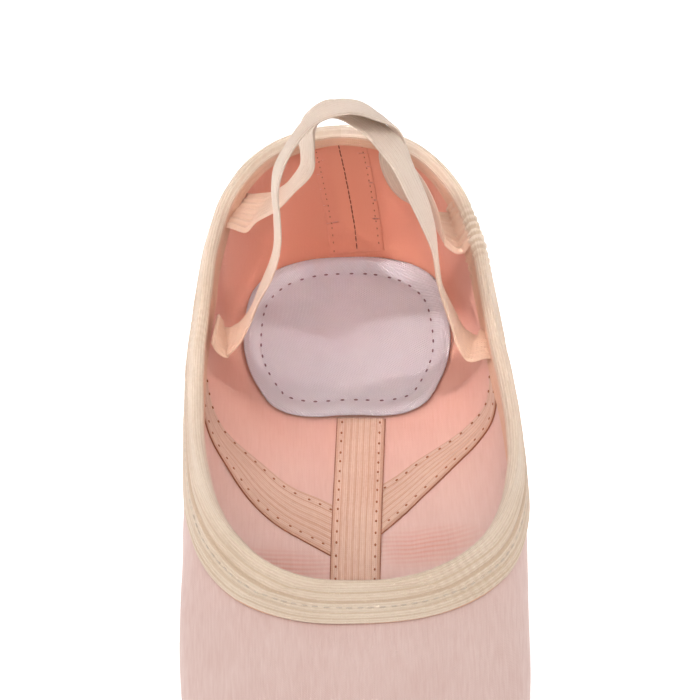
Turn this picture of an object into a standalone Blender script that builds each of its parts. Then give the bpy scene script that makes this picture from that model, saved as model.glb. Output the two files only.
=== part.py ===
"""A split-sole ballet slipper: stretch canvas upper, elastic binding, crossed elastic straps, suede sole patches.

Sizes are in millimetres; every mesh is made in metres. The toe points along -Y and the heel along +Y, +X is on
the right seen from the toe, and the two sole patches stand on z = 0. The slipper fits either foot.
"""

import math

import bmesh
import bpy
import numpy as np
from mathutils.bvhtree import BVHTree

MM = 0.001

# Driving sizes of the slipper
LENGTH = 228.0
BALL_WIDTH = 83.0
HEEL_HEIGHT = 50.5
INSTEP_HEIGHT = 38.0
WALL = 1.2
GAP = 0.3

# Sizes of the pieces sewn to the upper
BINDING_THICKNESS = 0.8
BINDING_OUTSIDE = 10.5
BINDING_INSIDE = 8.5
# How far down the binding's inner leg reaches: less round the heel and round the throat's front
INNER_LEG = [
    # along, depth
    (0.00, 2.6),
    (0.07, 3.4),
    (0.20, BINDING_INSIDE),
    (0.34, 8.0),
    (0.45, 4.5),
    (0.61, 4.0),
]
# How far the opening leans to the right of the last, which is even on both sides, and how deep the lean fades out
LEAN = [
    # along, distance to the right
    (0.30, 0.0),
    (0.38, 1.0),
    (0.46, 1.8),
    (0.56, 2.3),
    (0.61, 1.2),
]
LEAN_DEPTH = 30.0
# How far the binding's inner edge hangs away from the wall
BINDING_SPLAY = 2.2
TAPE_THICKNESS = 0.6
TAPE_WIDTH = 12.0
HEEL_TAPE_WIDTH = 15.0
PAD_THICKNESS = 1.8
SOLE_THICKNESS = 1.8
SEAM_ALLOWANCE = 7.0
CUTTER_REACH = 5.0
STRAP_WIDTH = 11.0
STRAP_THICKNESS = 0.9

# Mesh steps
SPOKES_PER_SIDE = 34
RINGS = 18
BINDING_RINGS = 3
PATCH_SPOKES_PER_SIDE = 16
PATCH_RINGS = 6
OPENING_SPOKES_PER_SIDE = 14
FINE = 160
# How much length a bend counts for when points are shared out along a line, in mm per radian
OUTLINE_BEND = 34.0
SECTION_BEND = 16.0
# Every how many of a section's points the search tree of the inner wall keeps
TREE_STEP = 6

# The underside's level where a sole patch lies under it
SEAT = SOLE_THICKNESS + GAP

# Where the sections stop being parallel and fan out round the heel and the toe, as shares of the length
HEEL_CENTRE = 0.19
TOE_CENTRE = 0.82
# The throat's front point, where its rounded front meets the straight sides, and how square the round is
THROAT = 0.614
THROAT_SIDES = 0.38
THROAT_ROUNDNESS = 2.36
# How much the sections' starts slow down on the topline towards the throat's front
SLOWING = 1.8

# The outline at the widest level, from the heel's back to the toe's tip.
# across: share of half of BALL_WIDTH; widest: level of the widest place; bowl and dome: how square the section
# is below and above that level (2 is an ellipse).
OUTLINE = [
    # along, across, widest, bowl, dome
    (0.000, 0.000, 24.0, 3.8, 2.4),
    (0.034, 0.495, 25.0, 3.8, 2.4),
    (0.090, 0.725, 28.0, 3.8, 2.4),
    (0.155, 0.840, 31.0, 3.8, 2.3),
    (0.235, 0.900, 34.0, 3.5, 2.3),
    (0.330, 0.950, 33.0, 2.9, 2.2),
    (0.435, 0.980, 28.0, 2.6, 2.1),
    (0.575, 1.000, 20.0, 3.4, 2.0),
    (0.690, 0.985, 17.0, 3.8, 2.0),
    (0.790, 0.905, 15.0, 3.8, 2.1),
    (0.885, 0.735, 13.5, 3.6, 2.1),
    (0.960, 0.450, 12.5, 3.4, 2.1),
    (1.000, 0.000, 12.0, 3.4, 2.1),
]

# The topline: its level, and how far out it lies as a share of the section's reach
TOPLINE = [
    # along, level, share
    (0.00, HEEL_HEIGHT, 0.955),
    (0.08, 49.0, 0.955),
    (0.17, 46.0, 0.95),
    (0.26, 43.5, 0.945),
    (0.36, 41.5, 0.955),
    (0.48, 39.8, 0.955),
    (THROAT, INSTEP_HEIGHT, 0.955),
]

# The ridge of the vamp, from the throat to above the toe's tip
CROWN = [
    # along, level
    (0.53, INSTEP_HEIGHT + 3.0),
    (THROAT, INSTEP_HEIGHT),
    (0.70, 34.4),
    (0.79, 30.4),
    (0.88, 26.6),
    (0.95, 23.8),
    (1.00, 22.4),
]

# The underside along the middle: flat over both sole patches, lifted at the arch and at the toe's tip
UNDERSIDE = [
    # along, level
    (0.00, SEAT),
    (0.24, SEAT),
    (0.33, 3.2),
    (0.43, 4.6),
    (0.53, 3.2),
    (0.60, SEAT),
    (0.90, SEAT),
    (1.00, 3.4),
]
# How far the rounded underside reaches below that level before it is flattened to it
FLATTENING = 0.5

# Plan outlines of the sole patches and the pads
FOREFOOT_PATCH = [
    # along, half of the width
    (0.545, 0.0),
    (0.560, 16.0),
    (0.605, 25.5),
    (0.690, 29.5),
    (0.790, 27.0),
    (0.875, 21.0),
    (0.930, 13.0),
    (0.955, 0.0),
]
HEEL_PATCH = [
    (0.030, 0.0),
    (0.050, 12.5),
    (0.105, 21.5),
    (0.175, 24.5),
    (0.245, 21.5),
    (0.290, 13.0),
    (0.305, 0.0),
]
HEEL_PAD = [
    # along, half of the width
    (0.0235, 0.0),
    (0.029, 10.5),
    (0.047, 19.2),
    (0.081, 25.7),
    (0.130, 27.9),
    (0.175, 27.4),
    (0.215, 24.0),
    (0.243, 19.6),
    (0.256, 12.5),
    (0.256, 0.0),
]
FOREFOOT_PAD = [
    (0.575, 0.0),
    (0.585, 16.0),
    (0.620, 27.0),
    (0.700, 32.0),
    (0.790, 29.5),
    (0.880, 23.0),
    (0.945, 13.0),
    (0.965, 0.0),
]

# The middles of the tapes inside, from the heel end of the shoe forward
CENTRE_TAPE = [
    # along, x, level, share of its width
    (0.258, 3.8, 3.5, 1),
    (0.350, 2.6, 4.8, 1),
    (0.480, 1.0, 5.5, 1),
    (0.571, 0.2, 3.5, 1),
]
LEFT_TAPE = [
    (0.254, -36.6, 21.0, 0.60),
    (0.281, -35.4, 17.0, 0.60),
    (0.301, -33.8, 13.8, 0.64),
    (0.333, -28.4, 9.0, 0.80),
    (0.379, -19.2, 6.2, 1.00),
    (0.412, -8.8, 5.5, 1.12),
    (0.422, -5.7, 5.5, 1.12),
]
RIGHT_TAPE = [
    (0.272, 36.6, 25.0, 0.62),
    (0.298, 36.4, 19.5, 0.64),
    (0.312, 32.0, 11.3, 0.70),
    (0.325, 27.0, 7.9, 0.74),
    (0.344, 21.2, 6.1, 0.78),
    (0.384, 10.8, 5.3, 0.88),
    (0.392, 8.8, 5.3, 0.92),
]
HEEL_TAPE = [
    (0.0193, -0.6, 45.0, 1),
    (0.0132, 2.2, 25.0, 1),
    (0.0193, 3.5, 11.8, 1),
]
# How far the side tapes' front ends slant, so that they lie along the middle tape: 1 is 45 degrees
LEFT_TAPE_SLANT = -0.75
RIGHT_TAPE_SLANT = 0.95

# The middles of the free straps, from the anchor on the left to the anchor on the right.
# heading: which way the strap's width runs in plan, in degrees from +X; tilt: how far it rises that way.
STRAP_A_ANCHORS = (0.264, 0.128)
STRAP_A = [
    # x, y, z, heading, tilt
    (-29.6, 53.4, 35.7, 90, -8),
    (-27.2, 53.4, 37.6, 94, -20),
    (-24.5, 54.6, 41.4, 89, -26),
    (-21.1, 57.0, 49.5, 83, -15),
    (-17.9, 58.3, 57.9, 86, -6),
    (-16.6, 58.7, 69.0, 96, 0),
    (-16.8, 58.6, 80.3, 98, 0),
    (-16.6, 58.9, 87.0, 92, -6),
    (-13.8, 60.8, 94.6, 88, -22),
    (-7.7, 64.6, 101.2, 100, -33),
    (-1.1, 67.9, 101.8, 117, -24),
    (5.2, 71.5, 97.6, 131, -6),
    (10.4, 75.9, 89.3, 128, -4),
    (13.5, 77.5, 80.6, 115, 2),
    (13.2, 78.2, 72.5, 146, -2),
    (15.6, 79.2, 64.0, 157, -12),
    (18.6, 81.0, 55.5, 148, -8),
    (21.8, 82.6, 48.0, 122, 0),
    (24.4, 82.7, 44.4, 109, 0),
]
STRAP_B_ANCHORS = (0.098, 0.286)
STRAP_B = [
    (-21.9, 88.5, 45.4, 63, 5),
    (-18.9, 86.8, 49.5, 57, 8),
    (-14.6, 83.4, 57.0, 67, 8),
    (-11.0, 81.0, 66.0, 78, 7),
    (-9.2, 79.6, 74.5, 108, 11),
    (-8.5, 78.3, 82.7, 102, 12),
    (-5.2, 76.9, 90.8, 70, -3),
    (0.4, 73.6, 94.3, 51, -26),
    (6.0, 69.2, 93.8, 61, -32),
    (11.9, 64.8, 89.5, 71, -18),
    (15.8, 62.2, 81.5, 75, -12),
    (18.9, 59.8, 74.2, 79, -10),
    (21.3, 58.0, 66.2, 86, -10),
    (22.4, 56.6, 57.0, 89, -8),
    (24.0, 55.4, 48.4, 95, -9),
    (26.9, 53.4, 41.4, 85, -24),
    (28.9, 50.3, 38.2, 84, -16),
    (30.9, 48.4, 37.5, 95, -4),
]
# A strap's end is folded up against the collar, or runs straight into it
FOLDED_END = [
    # depth, stand-off from the binding
    (1.5, 1.2),
    (5.0, 2.6),
]
STRAIGHT_END = [
    (3.5, 0.5),
]
STRAP_STATIONS = 38
# A strap's direction is read from a line with this many steps for each of its own
STRAP_FINENESS = 5
TAPE_STATIONS = 14
CENTRE_TAPE_STATIONS = 20


def smooth_curve(rows):
    """Points on a smooth curve through rows whose first column rises: it never overshoots, and ends level."""
    rows = np.array(rows, float)
    at, values = rows[:, 0], rows[:, 1:]
    rise = np.diff(values, axis=0) / np.diff(at)[:, None]
    slope = np.zeros_like(values)
    product = rise[:-1] * rise[1:]
    total = np.where(product > 0, rise[:-1] + rise[1:], 1.0)
    slope[1:-1] = np.where(product > 0, 2 * product / total, 0.0)
    return hermite(at, values, slope, np.linspace(at[0], at[-1], FINE))


def hermite(at, values, slope, wanted):
    """Rows (place, values) on the cubic curve with these values and slopes at the places in at."""
    i = np.clip(np.searchsorted(at, wanted) - 1, 0, len(at) - 2)
    step = (at[i + 1] - at[i])[:, None]
    u = (wanted - at[i])[:, None] / step
    curve = values[i] * (1 + 2 * u) * (1 - u) ** 2 + values[i + 1] * u * u * (3 - 2 * u)
    curve += step * (slope[i] * u * (1 - u) ** 2 - slope[i + 1] * u * u * (1 - u))
    return np.column_stack([wanted, curve])


def through(points, samples):
    """Evenly spaced rows on a smooth curve through rows whose first two or three columns are a place."""
    points = np.array(points, float)
    steps = np.linalg.norm(np.diff(points[:, : min(3, points.shape[1])], axis=0), axis=1)
    at = np.concatenate([[0], np.cumsum(steps)])
    slope = np.gradient(points, at, axis=0)
    return hermite(at, points, slope, np.linspace(0, at[-1], samples))[:, 1:]


def lookup(curve, at):
    """The values of a sampled curve, a column each, at places along its first column."""
    return np.stack([np.interp(at, curve[:, 0], column) for column in curve[:, 1:].T], axis=-1)


class Outline:
    """A plan outline that is the same on both sides, with its points on the side x >= 0 from heel to toe.

    Rows are (y, x, any other values). Each outline point has a centre on the middle line: sections are square
    to the middle line between the two centres, and fan out from them at the ends.
    """

    def __init__(self, rows, heel_y, toe_y):
        rows = np.array(rows, float)
        mirrored = rows[[1, -2]] * np.where(np.arange(rows.shape[1]) == 1, -1, 1)
        knots = np.vstack([mirrored[:1], rows, mirrored[1:]])
        steps = np.linalg.norm(np.diff(knots[:, :2], axis=0), axis=1)
        at = np.concatenate([[0], np.cumsum(steps)]) - steps[0]
        slope = np.gradient(knots, at, axis=0)
        self.curve = hermite(at, knots, slope, np.linspace(0, at[-2], 3 * FINE))[:, 1:]
        self.curve[[0, -1], 1] = 0.0
        self.heel_y, self.toe_y = heel_y, toe_y
        self.angle = self.angle_of(self.curve[:, 1], self.curve[:, 0])

    def centre(self, y):
        return np.clip(y, self.toe_y, self.heel_y)

    def angle_of(self, x, y):
        """A number that rises along the outline: the fan's angle at the ends, and the place between them."""
        centre = self.centre(y)
        ahead = self.heel_y - self.toe_y
        fan = np.arctan2(y - centre, np.abs(x))
        return (self.heel_y - centre) / ahead - fan

    def at(self, angle):
        """The outline's rows at these angles."""
        return np.stack([np.interp(angle, self.angle, column) for column in self.curve.T], axis=-1)

    def section(self, x, y):
        """The outline row of the section through each plan point, and how far out the point lies on it."""
        row = self.at(self.angle_of(x, y))
        centre = self.centre(y)
        reach = np.hypot(row[..., 1], row[..., 0] - centre)
        return row, np.hypot(x, y - centre) / reach

    def spread(self, count):
        """Rows along the outline from heel to toe, set closer together where it bends."""
        ahead = np.diff(self.curve[:, :2], axis=0)
        heading = np.unwrap(np.arctan2(ahead[:, 0], ahead[:, 1]))
        bend = np.abs(np.gradient(heading))
        run = np.concatenate([[0], np.cumsum(np.linalg.norm(ahead, axis=1) + OUTLINE_BEND * bend)])
        return lookup(np.column_stack([run, self.curve]), np.linspace(0, run[-1], count))


def y_of(along):
    return LENGTH * (0.5 - along)


def along_of(y):
    return 0.5 - y / LENGTH


def quarter(share, power):
    """The height, from 0 to 1, of a quarter of a superellipse at a share of its reach."""
    return np.maximum(1 - np.clip(share, 0, 1) ** power, 0) ** (1 / power)


LAST = Outline(
    [(y_of(along), across * BALL_WIDTH / 2, *rest) for along, across, *rest in OUTLINE],
    y_of(HEEL_CENTRE),
    y_of(TOE_CENTRE),
)
TOPLINE_CURVE = smooth_curve(TOPLINE)
CROWN_CURVE = smooth_curve(CROWN)
UNDERSIDE_CURVE = smooth_curve(UNDERSIDE)


def topline_share(y):
    """How far out the topline lies on the section at y, as a share of its reach."""
    along = along_of(y)
    share = lookup(TOPLINE_CURVE, along)[..., 1]
    ahead = np.clip((along - THROAT_SIDES) / (THROAT - THROAT_SIDES), 0, 1)
    return share * quarter(ahead, THROAT_ROUNDNESS)


def topline():
    """Rows (place along the outline, x, y, level) on the topline, from the heel to the throat's front.

    The first column is the angle of the section that each point lies on, which rises along the outline.
    """
    turn = np.linspace(0, math.pi / 2, FINE)
    ahead = np.sin(turn) ** (2 / THROAT_ROUNDNESS)
    front = y_of(THROAT_SIDES + ahead[1:] * (THROAT - THROAT_SIDES))
    behind = LAST.curve[LAST.curve[:, 0] >= y_of(THROAT_SIDES)]
    rows = np.vstack([behind, LAST.at(LAST.angle_of(np.ones_like(front), front))])
    share = topline_share(rows[:, 0])
    share[len(behind) :] = lookup(TOPLINE_CURVE, along_of(front))[:, 1]
    share[len(behind) :] *= np.cos(turn[1:]) ** (2 / THROAT_ROUNDNESS)
    centre = LAST.centre(rows[:, 0])
    level = lookup(TOPLINE_CURVE, along_of(rows[:, 0]))[:, 0]
    place = LAST.angle_of(rows[:, 1], rows[:, 0])
    return np.column_stack([place, rows[:, 1] * share, centre + (rows[:, 0] - centre) * share, level])


def top_level(x, y):
    """The level of the last above its widest line."""
    row, share = LAST.section(x, y)
    widest, dome = row[..., 2], row[..., 4]
    crown = lookup(CROWN_CURVE, along_of(y))[..., 0]
    rim = lookup(TOPLINE_CURVE, along_of(row[..., 0]))[..., 0]
    arch = quarter(share, dome)
    rim_arch = np.maximum(quarter(topline_share(row[..., 0]), dome), 1e-4)
    beside = widest + (rim - widest) * np.minimum(arch / rim_arch, 1)
    return np.where(y < y_of(THROAT), widest + (crown - widest) * arch, beside)


def bottom_level(x, y):
    """The level of the last below its widest line."""
    row, share = LAST.section(x, y)
    widest, bowl = row[..., 2], row[..., 3]
    lowest = lookup(UNDERSIDE_CURVE, along_of(y))[..., 0]
    rounded = widest - (widest - lowest + FLATTENING) * quarter(share, bowl)
    return np.maximum(rounded, lowest)


def run_along(points):
    """The distance along a line of points, from its start."""
    return np.concatenate([[0], np.cumsum(np.linalg.norm(np.diff(points, axis=0), axis=1))])


def section_starts(rows):
    """Where the sections of these outline rows start on the topline, and the plan direction they start in.

    Behind the throat a section starts straight above its outline point. Ahead of it the starts slow down, so
    that the middle section runs from the throat's front to the toe's tip.
    """
    rim = topline()
    run = run_along(rim[:, 1:3])
    outline_run = run_along(rows[:, :2])
    place = LAST.angle_of(rows[:, 1], rows[:, 0])
    side = np.interp(-y_of(THROAT_SIDES), -rows[:, 0], outline_run)
    rim_side = np.interp(-y_of(THROAT_SIDES), -rim[:, 2], run)
    ahead = np.clip((outline_run - side) / (outline_run[-1] - side), 0, 1)
    start = np.where(
        outline_run < side,
        np.interp(place, rim[:, 0], run),
        rim_side + (run[-1] - rim_side) * (1 - (1 - ahead) ** SLOWING),
    )
    along = np.gradient(rim[:, 1:3], run, axis=0)
    outward = np.column_stack([-along[:, 1], along[:, 0]])
    outward[[0, -1], 0] = 0
    table = np.column_stack([run, rim[:, 1:3], outward])
    found = lookup(table, start)
    return found[:, :2], found[:, 2:] / np.linalg.norm(found[:, 2:], axis=1)[:, None]


def sections(rows):
    """Lines on the last from the topline, over the widest line and under to the middle, one for each row."""
    turn = np.linspace(0, math.pi / 2, FINE)
    outer = rows[:, 1::-1]
    top, outward = section_starts(rows)
    reach = np.linalg.norm(outer - top, axis=1)[:, None]
    u = np.sin(turn)[None, :, None]
    above = top[:, None] + (outer - top)[:, None] * u
    above = above + (reach * outward - (outer - top))[:, None] * u * (1 - u) ** 2
    centre = np.stack([np.zeros(len(rows)), LAST.centre(rows[:, 0])], axis=-1)[:, None]
    below = centre + (outer[:, None] - centre) * np.cos(turn)[1:, None]
    upper_half = np.dstack([above, top_level(above[..., 0], above[..., 1])])
    lower_half = np.dstack([below, bottom_level(below[..., 0], below[..., 1])])
    upper_half[:, -1, 2] = rows[:, 2]
    return np.concatenate([upper_half, lower_half], axis=1)


def offset_sheet(points, lift, closed=True):
    """Points lifted out of a grid of sections, square to its surface."""
    around = np.roll(points, -1, axis=0) - np.roll(points, 1, axis=0)
    if not closed:
        around = np.gradient(points, axis=0)
    normal = np.cross(around, np.gradient(points, axis=1))
    return points + lift * normal / np.maximum(np.linalg.norm(normal, axis=2), 1e-9)[..., None]


class Shell:
    """The last's surface as sections all round it, for pieces that lie on it or inside it."""

    def __init__(self):
        right = sections(LAST.spread(SPOKES_PER_SIDE + 1))
        self.points = np.concatenate([right, right[-2:0:-1] * (-1, 1, 1)])
        steps = np.linalg.norm(np.diff(self.points, axis=1), axis=2)
        self.depth = np.concatenate([np.zeros((len(steps), 1)), np.cumsum(steps, axis=1)], axis=1)
        share = np.clip(self.depth / LEAN_DEPTH, 0, 1)
        lean = np.interp(along_of(self.points[:, :1, 1]), *np.transpose(LEAN))
        self.points[..., 0] += lean * (1 - share**2 * (3 - 2 * share))

    def grid(self, depths, lift=0.0):
        """The points of every section at its own distances from the topline, lifted out of the surface."""
        lifted = offset_sheet(self.points, np.reshape(lift, (-1, 1, 1)))
        rows = [
            lookup(np.column_stack([down, section]), wanted)
            for section, down, wanted in zip(lifted, self.depth, depths)
        ]
        return np.array(rows)

    def ring(self, depth, lift):
        """One point of every section, at one distance from the topline or at each section's own."""
        return self.grid(np.broadcast_to(depth, len(self.points))[:, None], lift)[:, 0]

    def ring_depths(self, start, count):
        """Distances from the topline for each section, after start, set closer together where it bends."""
        ahead = np.diff(self.points, axis=1)
        steps = np.linalg.norm(ahead, axis=2)
        ahead /= steps[..., None]
        bend = np.linalg.norm(np.diff(ahead, axis=1, append=ahead[:, -1:]), axis=2)
        found = []
        for down, run in zip(self.depth, np.cumsum(steps + SECTION_BEND * bend, axis=1)):
            run = np.concatenate([[0], run])
            wanted = np.linspace(np.interp(start, down, run), run[-1], count + 1)
            found.append(np.interp(wanted[1:], run, down))
        return found

    def tree(self, lift):
        """A search tree of the surface lifted by this much."""
        points = offset_sheet(self.points, lift)[:, ::TREE_STEP]
        count, rings = points.shape[:2]
        corners = [
            (i * rings + j, i * rings + j + 1, (i + 1) % count * rings + j + 1, (i + 1) % count * rings + j)
            for i in range(count)
            for j in range(rings - 1)
        ]
        return BVHTree.FromPolygons(points.reshape(-1, 3).tolist(), corners)

    def rim_place(self, along, side, depth, lift):
        """A point at this place along the topline, this far down the wall, and the heading of the topline."""
        half = self.points[: len(self.points) // 2 + 1]
        lifted = offset_sheet(self.points, lift)
        i = int(np.argmin(np.abs(half[:, 0, 1] - y_of(along))))
        i = i if half[i, 0, 1] >= y_of(along) else i - 1
        blend = (half[i, 0, 1] - y_of(along)) / (half[i, 0, 1] - half[i + 1, 0, 1])
        ends = [
            np.array([np.interp(depth, self.depth[k], column) for column in lifted[k].T]) for k in (i, i + 1)
        ]
        point = ends[0] * (1 - blend) + ends[1] * blend
        heading = math.degrees(math.atan2(ends[0][1] - ends[1][1], side * (ends[0][0] - ends[1][0])))
        return point * (side, 1, 1), heading


def material(name, colour, roughness):
    made = bpy.data.materials.new(name)
    made.use_nodes = True
    surface = made.node_tree.nodes["Principled BSDF"]
    surface.inputs["Base Color"].default_value = (*colour, 1)
    surface.inputs["Roughness"].default_value = roughness
    surface.inputs["Metallic"].default_value = 0.0
    made.diffuse_color = (*colour, 1)
    return made


def sheet_mesh(points, around=False, across=False):
    """A grid moved onto an array of points in mm, welded where it closes on itself.

    around closes it from its last row to its first, and across from its last column to its first.
    """
    rows, columns = points.shape[:2]
    bm = bmesh.new()
    row_steps, column_steps = rows - 1 + around, columns - 1 + across
    bmesh.ops.create_grid(bm, x_segments=row_steps, y_segments=column_steps, size=1)
    for vertex in bm.verts:
        i = round((vertex.co.x + 1) / 2 * row_steps) % rows
        j = round((vertex.co.y + 1) / 2 * column_steps) % columns
        vertex.co = points[i, j] * MM
    bmesh.ops.remove_doubles(bm, verts=bm.verts, dist=1e-7)
    return bm


def add_object(name, bm, finish):
    mesh = bpy.data.meshes.new(name)
    bm.to_mesh(mesh)
    bm.free()
    mesh.shade_smooth()
    mesh.set_sharp_from_angle(angle=math.radians(40))
    made = bpy.data.objects.new(name, mesh)
    bpy.context.scene.collection.objects.link(made)
    if finish:
        mesh.materials.append(finish)
    return made


def add_thickness(made, thickness, offset):
    """Thickens a sheet: offset -1 grows it away from the side its faces point to, and 1 towards it."""
    wall = made.modifiers.new("Wall", "SOLIDIFY")
    wall.thickness = thickness * MM
    wall.offset = offset
    wall.use_even_offset = True
    return made


def add_closed_loft(name, points, finish, ring=False):
    """A closed solid through closed profiles, with capped ends unless the profiles go round in a ring."""
    bm = sheet_mesh(points, around=ring, across=True)
    if not ring:
        bmesh.ops.holes_fill(bm, edges=bm.edges, sides=0)
    bmesh.ops.recalc_face_normals(bm, faces=bm.faces)
    return add_object(name, bm, finish)


def patch_outline(rows):
    """A patch's plan outline, whose sections fan out from centres two fifths of its length inside its ends."""
    ends = y_of(rows[0][0]), y_of(rows[-1][0])
    inset = 0.4 * (ends[0] - ends[1])
    return Outline([(y_of(along), x) for along, x in rows], ends[0] - inset, ends[1] + inset)


def floor_points(plan, lift):
    """Plan points set on the last's underside, then lifted into the last square to it."""
    x, y = plan[..., 0], plan[..., 1]
    nudge = 0.05
    slope_x = (bottom_level(x + nudge, y) - bottom_level(x - nudge, y)) / (2 * nudge)
    slope_y = (bottom_level(x, y + nudge) - bottom_level(x, y - nudge)) / (2 * nudge)
    inward = np.stack([-slope_x, -slope_y, np.ones_like(x)], axis=-1)
    inward /= np.linalg.norm(inward, axis=-1)[..., None]
    return np.dstack([x, y, bottom_level(x, y)]) + lift * inward


def add_patch(name, rows, lift, thickness, finish):
    """A flat piece that follows the underside: a sheet at this lift, thickened downwards if lift is negative."""
    outline = patch_outline(rows)
    edge = outline.spread(PATCH_SPOKES_PER_SIDE + 1)
    edge = np.concatenate([edge, edge[-2:0:-1] * (1, -1)])
    centre = np.stack([np.zeros(len(edge)), outline.centre(edge[:, 0])], axis=-1)[:, None]
    share = np.linspace(1, 0, PATCH_RINGS)[:, None]
    plan = centre + (edge[:, None, 1::-1] - centre) * share
    bm = sheet_mesh(floor_points(plan, lift), around=True)
    bmesh.ops.recalc_face_normals(bm, faces=bm.faces)
    if sum(face.normal.z * face.calc_area() for face in bm.faces) < 0:
        bmesh.ops.reverse_faces(bm, faces=bm.faces)
    return add_thickness(add_object(name, bm, finish), thickness, math.copysign(1, lift))


def add_opening_cutter(name, rows):
    """A prism for the opening in the upper above a sole patch, set in from a patch's or a pad's edge."""
    edge = patch_outline(rows).spread(OPENING_SPOKES_PER_SIDE + 1)
    edge = np.concatenate([edge, edge[-2:0:-1] * (1, -1)])[:, ::-1]
    along = np.roll(edge, -1, axis=0) - np.roll(edge, 1, axis=0)
    inward = np.stack([along[:, 1], -along[:, 0]], axis=-1)
    inward /= np.linalg.norm(inward, axis=1)[:, None]
    inward *= -np.sign(np.sum(inward * (edge - edge.mean(axis=0)), axis=1))[:, None]
    plan = edge + inward * SEAM_ALLOWANCE
    low, high = -CUTTER_REACH, SEAT + WALL + CUTTER_REACH
    levels = [np.column_stack([plan, np.full(len(plan), level)]) for level in (low, high)]
    bm = sheet_mesh(np.stack(levels, axis=1), around=True)
    bmesh.ops.holes_fill(bm, edges=bm.edges, sides=0)
    bmesh.ops.recalc_face_normals(bm, faces=bm.faces)
    cutter = add_object(name, bm, None)
    cutter.hide_render = True
    cutter.display_type = "WIRE"
    return cutter


def add_upper(shell, finish):
    """The canvas sock: the last's whole surface, given a wall inwards and opened above both sole patches."""
    under_binding = np.linspace(0, BINDING_OUTSIDE, BINDING_RINGS + 1)
    below = shell.ring_depths(BINDING_OUTSIDE, RINGS)
    points = shell.grid([np.concatenate([under_binding, depths]) for depths in below])
    bm = sheet_mesh(points, around=True)
    bmesh.ops.recalc_face_normals(bm, faces=bm.faces)
    if sum(face.normal.dot(face.calc_center_median()) * face.calc_area() for face in bm.faces) < 0:
        bmesh.ops.reverse_faces(bm, faces=bm.faces)
    bmesh.ops.triangulate(bm, faces=bm.faces, quad_method="SHORT_EDGE")
    upper = add_thickness(add_object("upper", bm, finish), WALL, -1)
    for name, rows in (("forefoot_opening", FOREFOOT_PATCH), ("heel_opening", HEEL_PAD)):
        cut = upper.modifiers.new(name, "BOOLEAN")
        cut.operation = "DIFFERENCE"
        cut.solver = "EXACT"
        cut.object = add_opening_cutter(name + "_cutter", rows)
    return upper


def inner_lift(depth):
    """How far the binding's inner leg stands off the last's surface at a distance from the topline."""
    return -WALL - BINDING_SPLAY * depth / BINDING_INSIDE


def add_binding(shell, finish):
    """Elastic folded over the topline: down the outside, over the edge and down the inside."""
    leg_share = np.interp(along_of(shell.points[:, 0, 1]), *np.transpose(INNER_LEG)) / BINDING_INSIDE
    profile = []
    for gap, way in ((GAP, 1), (GAP + BINDING_THICKNESS, -1)):
        outside = [(depth, gap) for depth in np.linspace(BINDING_OUTSIDE, 0, BINDING_RINGS + 1)]
        edge = [(-gap, gap / 4), (-gap, -WALL - gap / 4)]
        down = [leg_share * depth for depth in np.linspace(0, BINDING_INSIDE, BINDING_RINGS)]
        inside = [(depth, inner_lift(depth) - gap) for depth in down]
        profile += (outside + edge + inside)[::way]
    rings = [shell.ring(np.maximum(depth, 0), lift) + (0, 0, max(-np.min(depth), 0)) for depth, lift in profile]
    return add_closed_loft("topline_binding", np.stack(rings, axis=1), finish, ring=True)


def on_wall(tree, points):
    """The nearest places on the inner wall, and the wall's directions there into the shoe."""
    found = [tree.find_nearest(point.tolist())[:2] for point in points]
    places = np.array([place for place, _ in found])
    normals = np.array([normal for _, normal in found])
    middle = np.column_stack([0 * places[:, 0], LAST.centre(places[:, 1]), 0 * places[:, 2] + INSTEP_HEIGHT])
    into = middle - places
    return places, normals * np.sign(np.sum(normals * into, axis=1))[:, None]


def add_tape(name, tree, route, width, stations, finish, slant=0.0):
    """A flat tape on the inner wall along a route of rows (along, x, level, share), with a slanted front end."""
    rows = through([(x, y_of(along), level, share) for along, x, level, share in route], stations)
    middle, normals = on_wall(tree, rows[:, :3])
    tangent = np.gradient(middle, axis=0)
    across = np.cross(normals, tangent)
    across /= np.linalg.norm(across, axis=1)[:, None]
    tangent /= np.linalg.norm(tangent, axis=1)[:, None]
    across += tangent * slant * (np.linspace(0, 1, stations) ** 3)[:, None]
    across *= rows[:, 3:]
    steps = np.linspace(-0.5, 0.5, 5) * width
    faces = []
    for step in steps:
        place, normal = on_wall(tree, middle + across * step)
        faces.append((place + normal * GAP, place + normal * (GAP + TAPE_THICKNESS)))
    profile = [low for low, _ in faces] + [high for _, high in faces[::-1]]
    return add_closed_loft(name, np.stack(profile, axis=1), finish)


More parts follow.
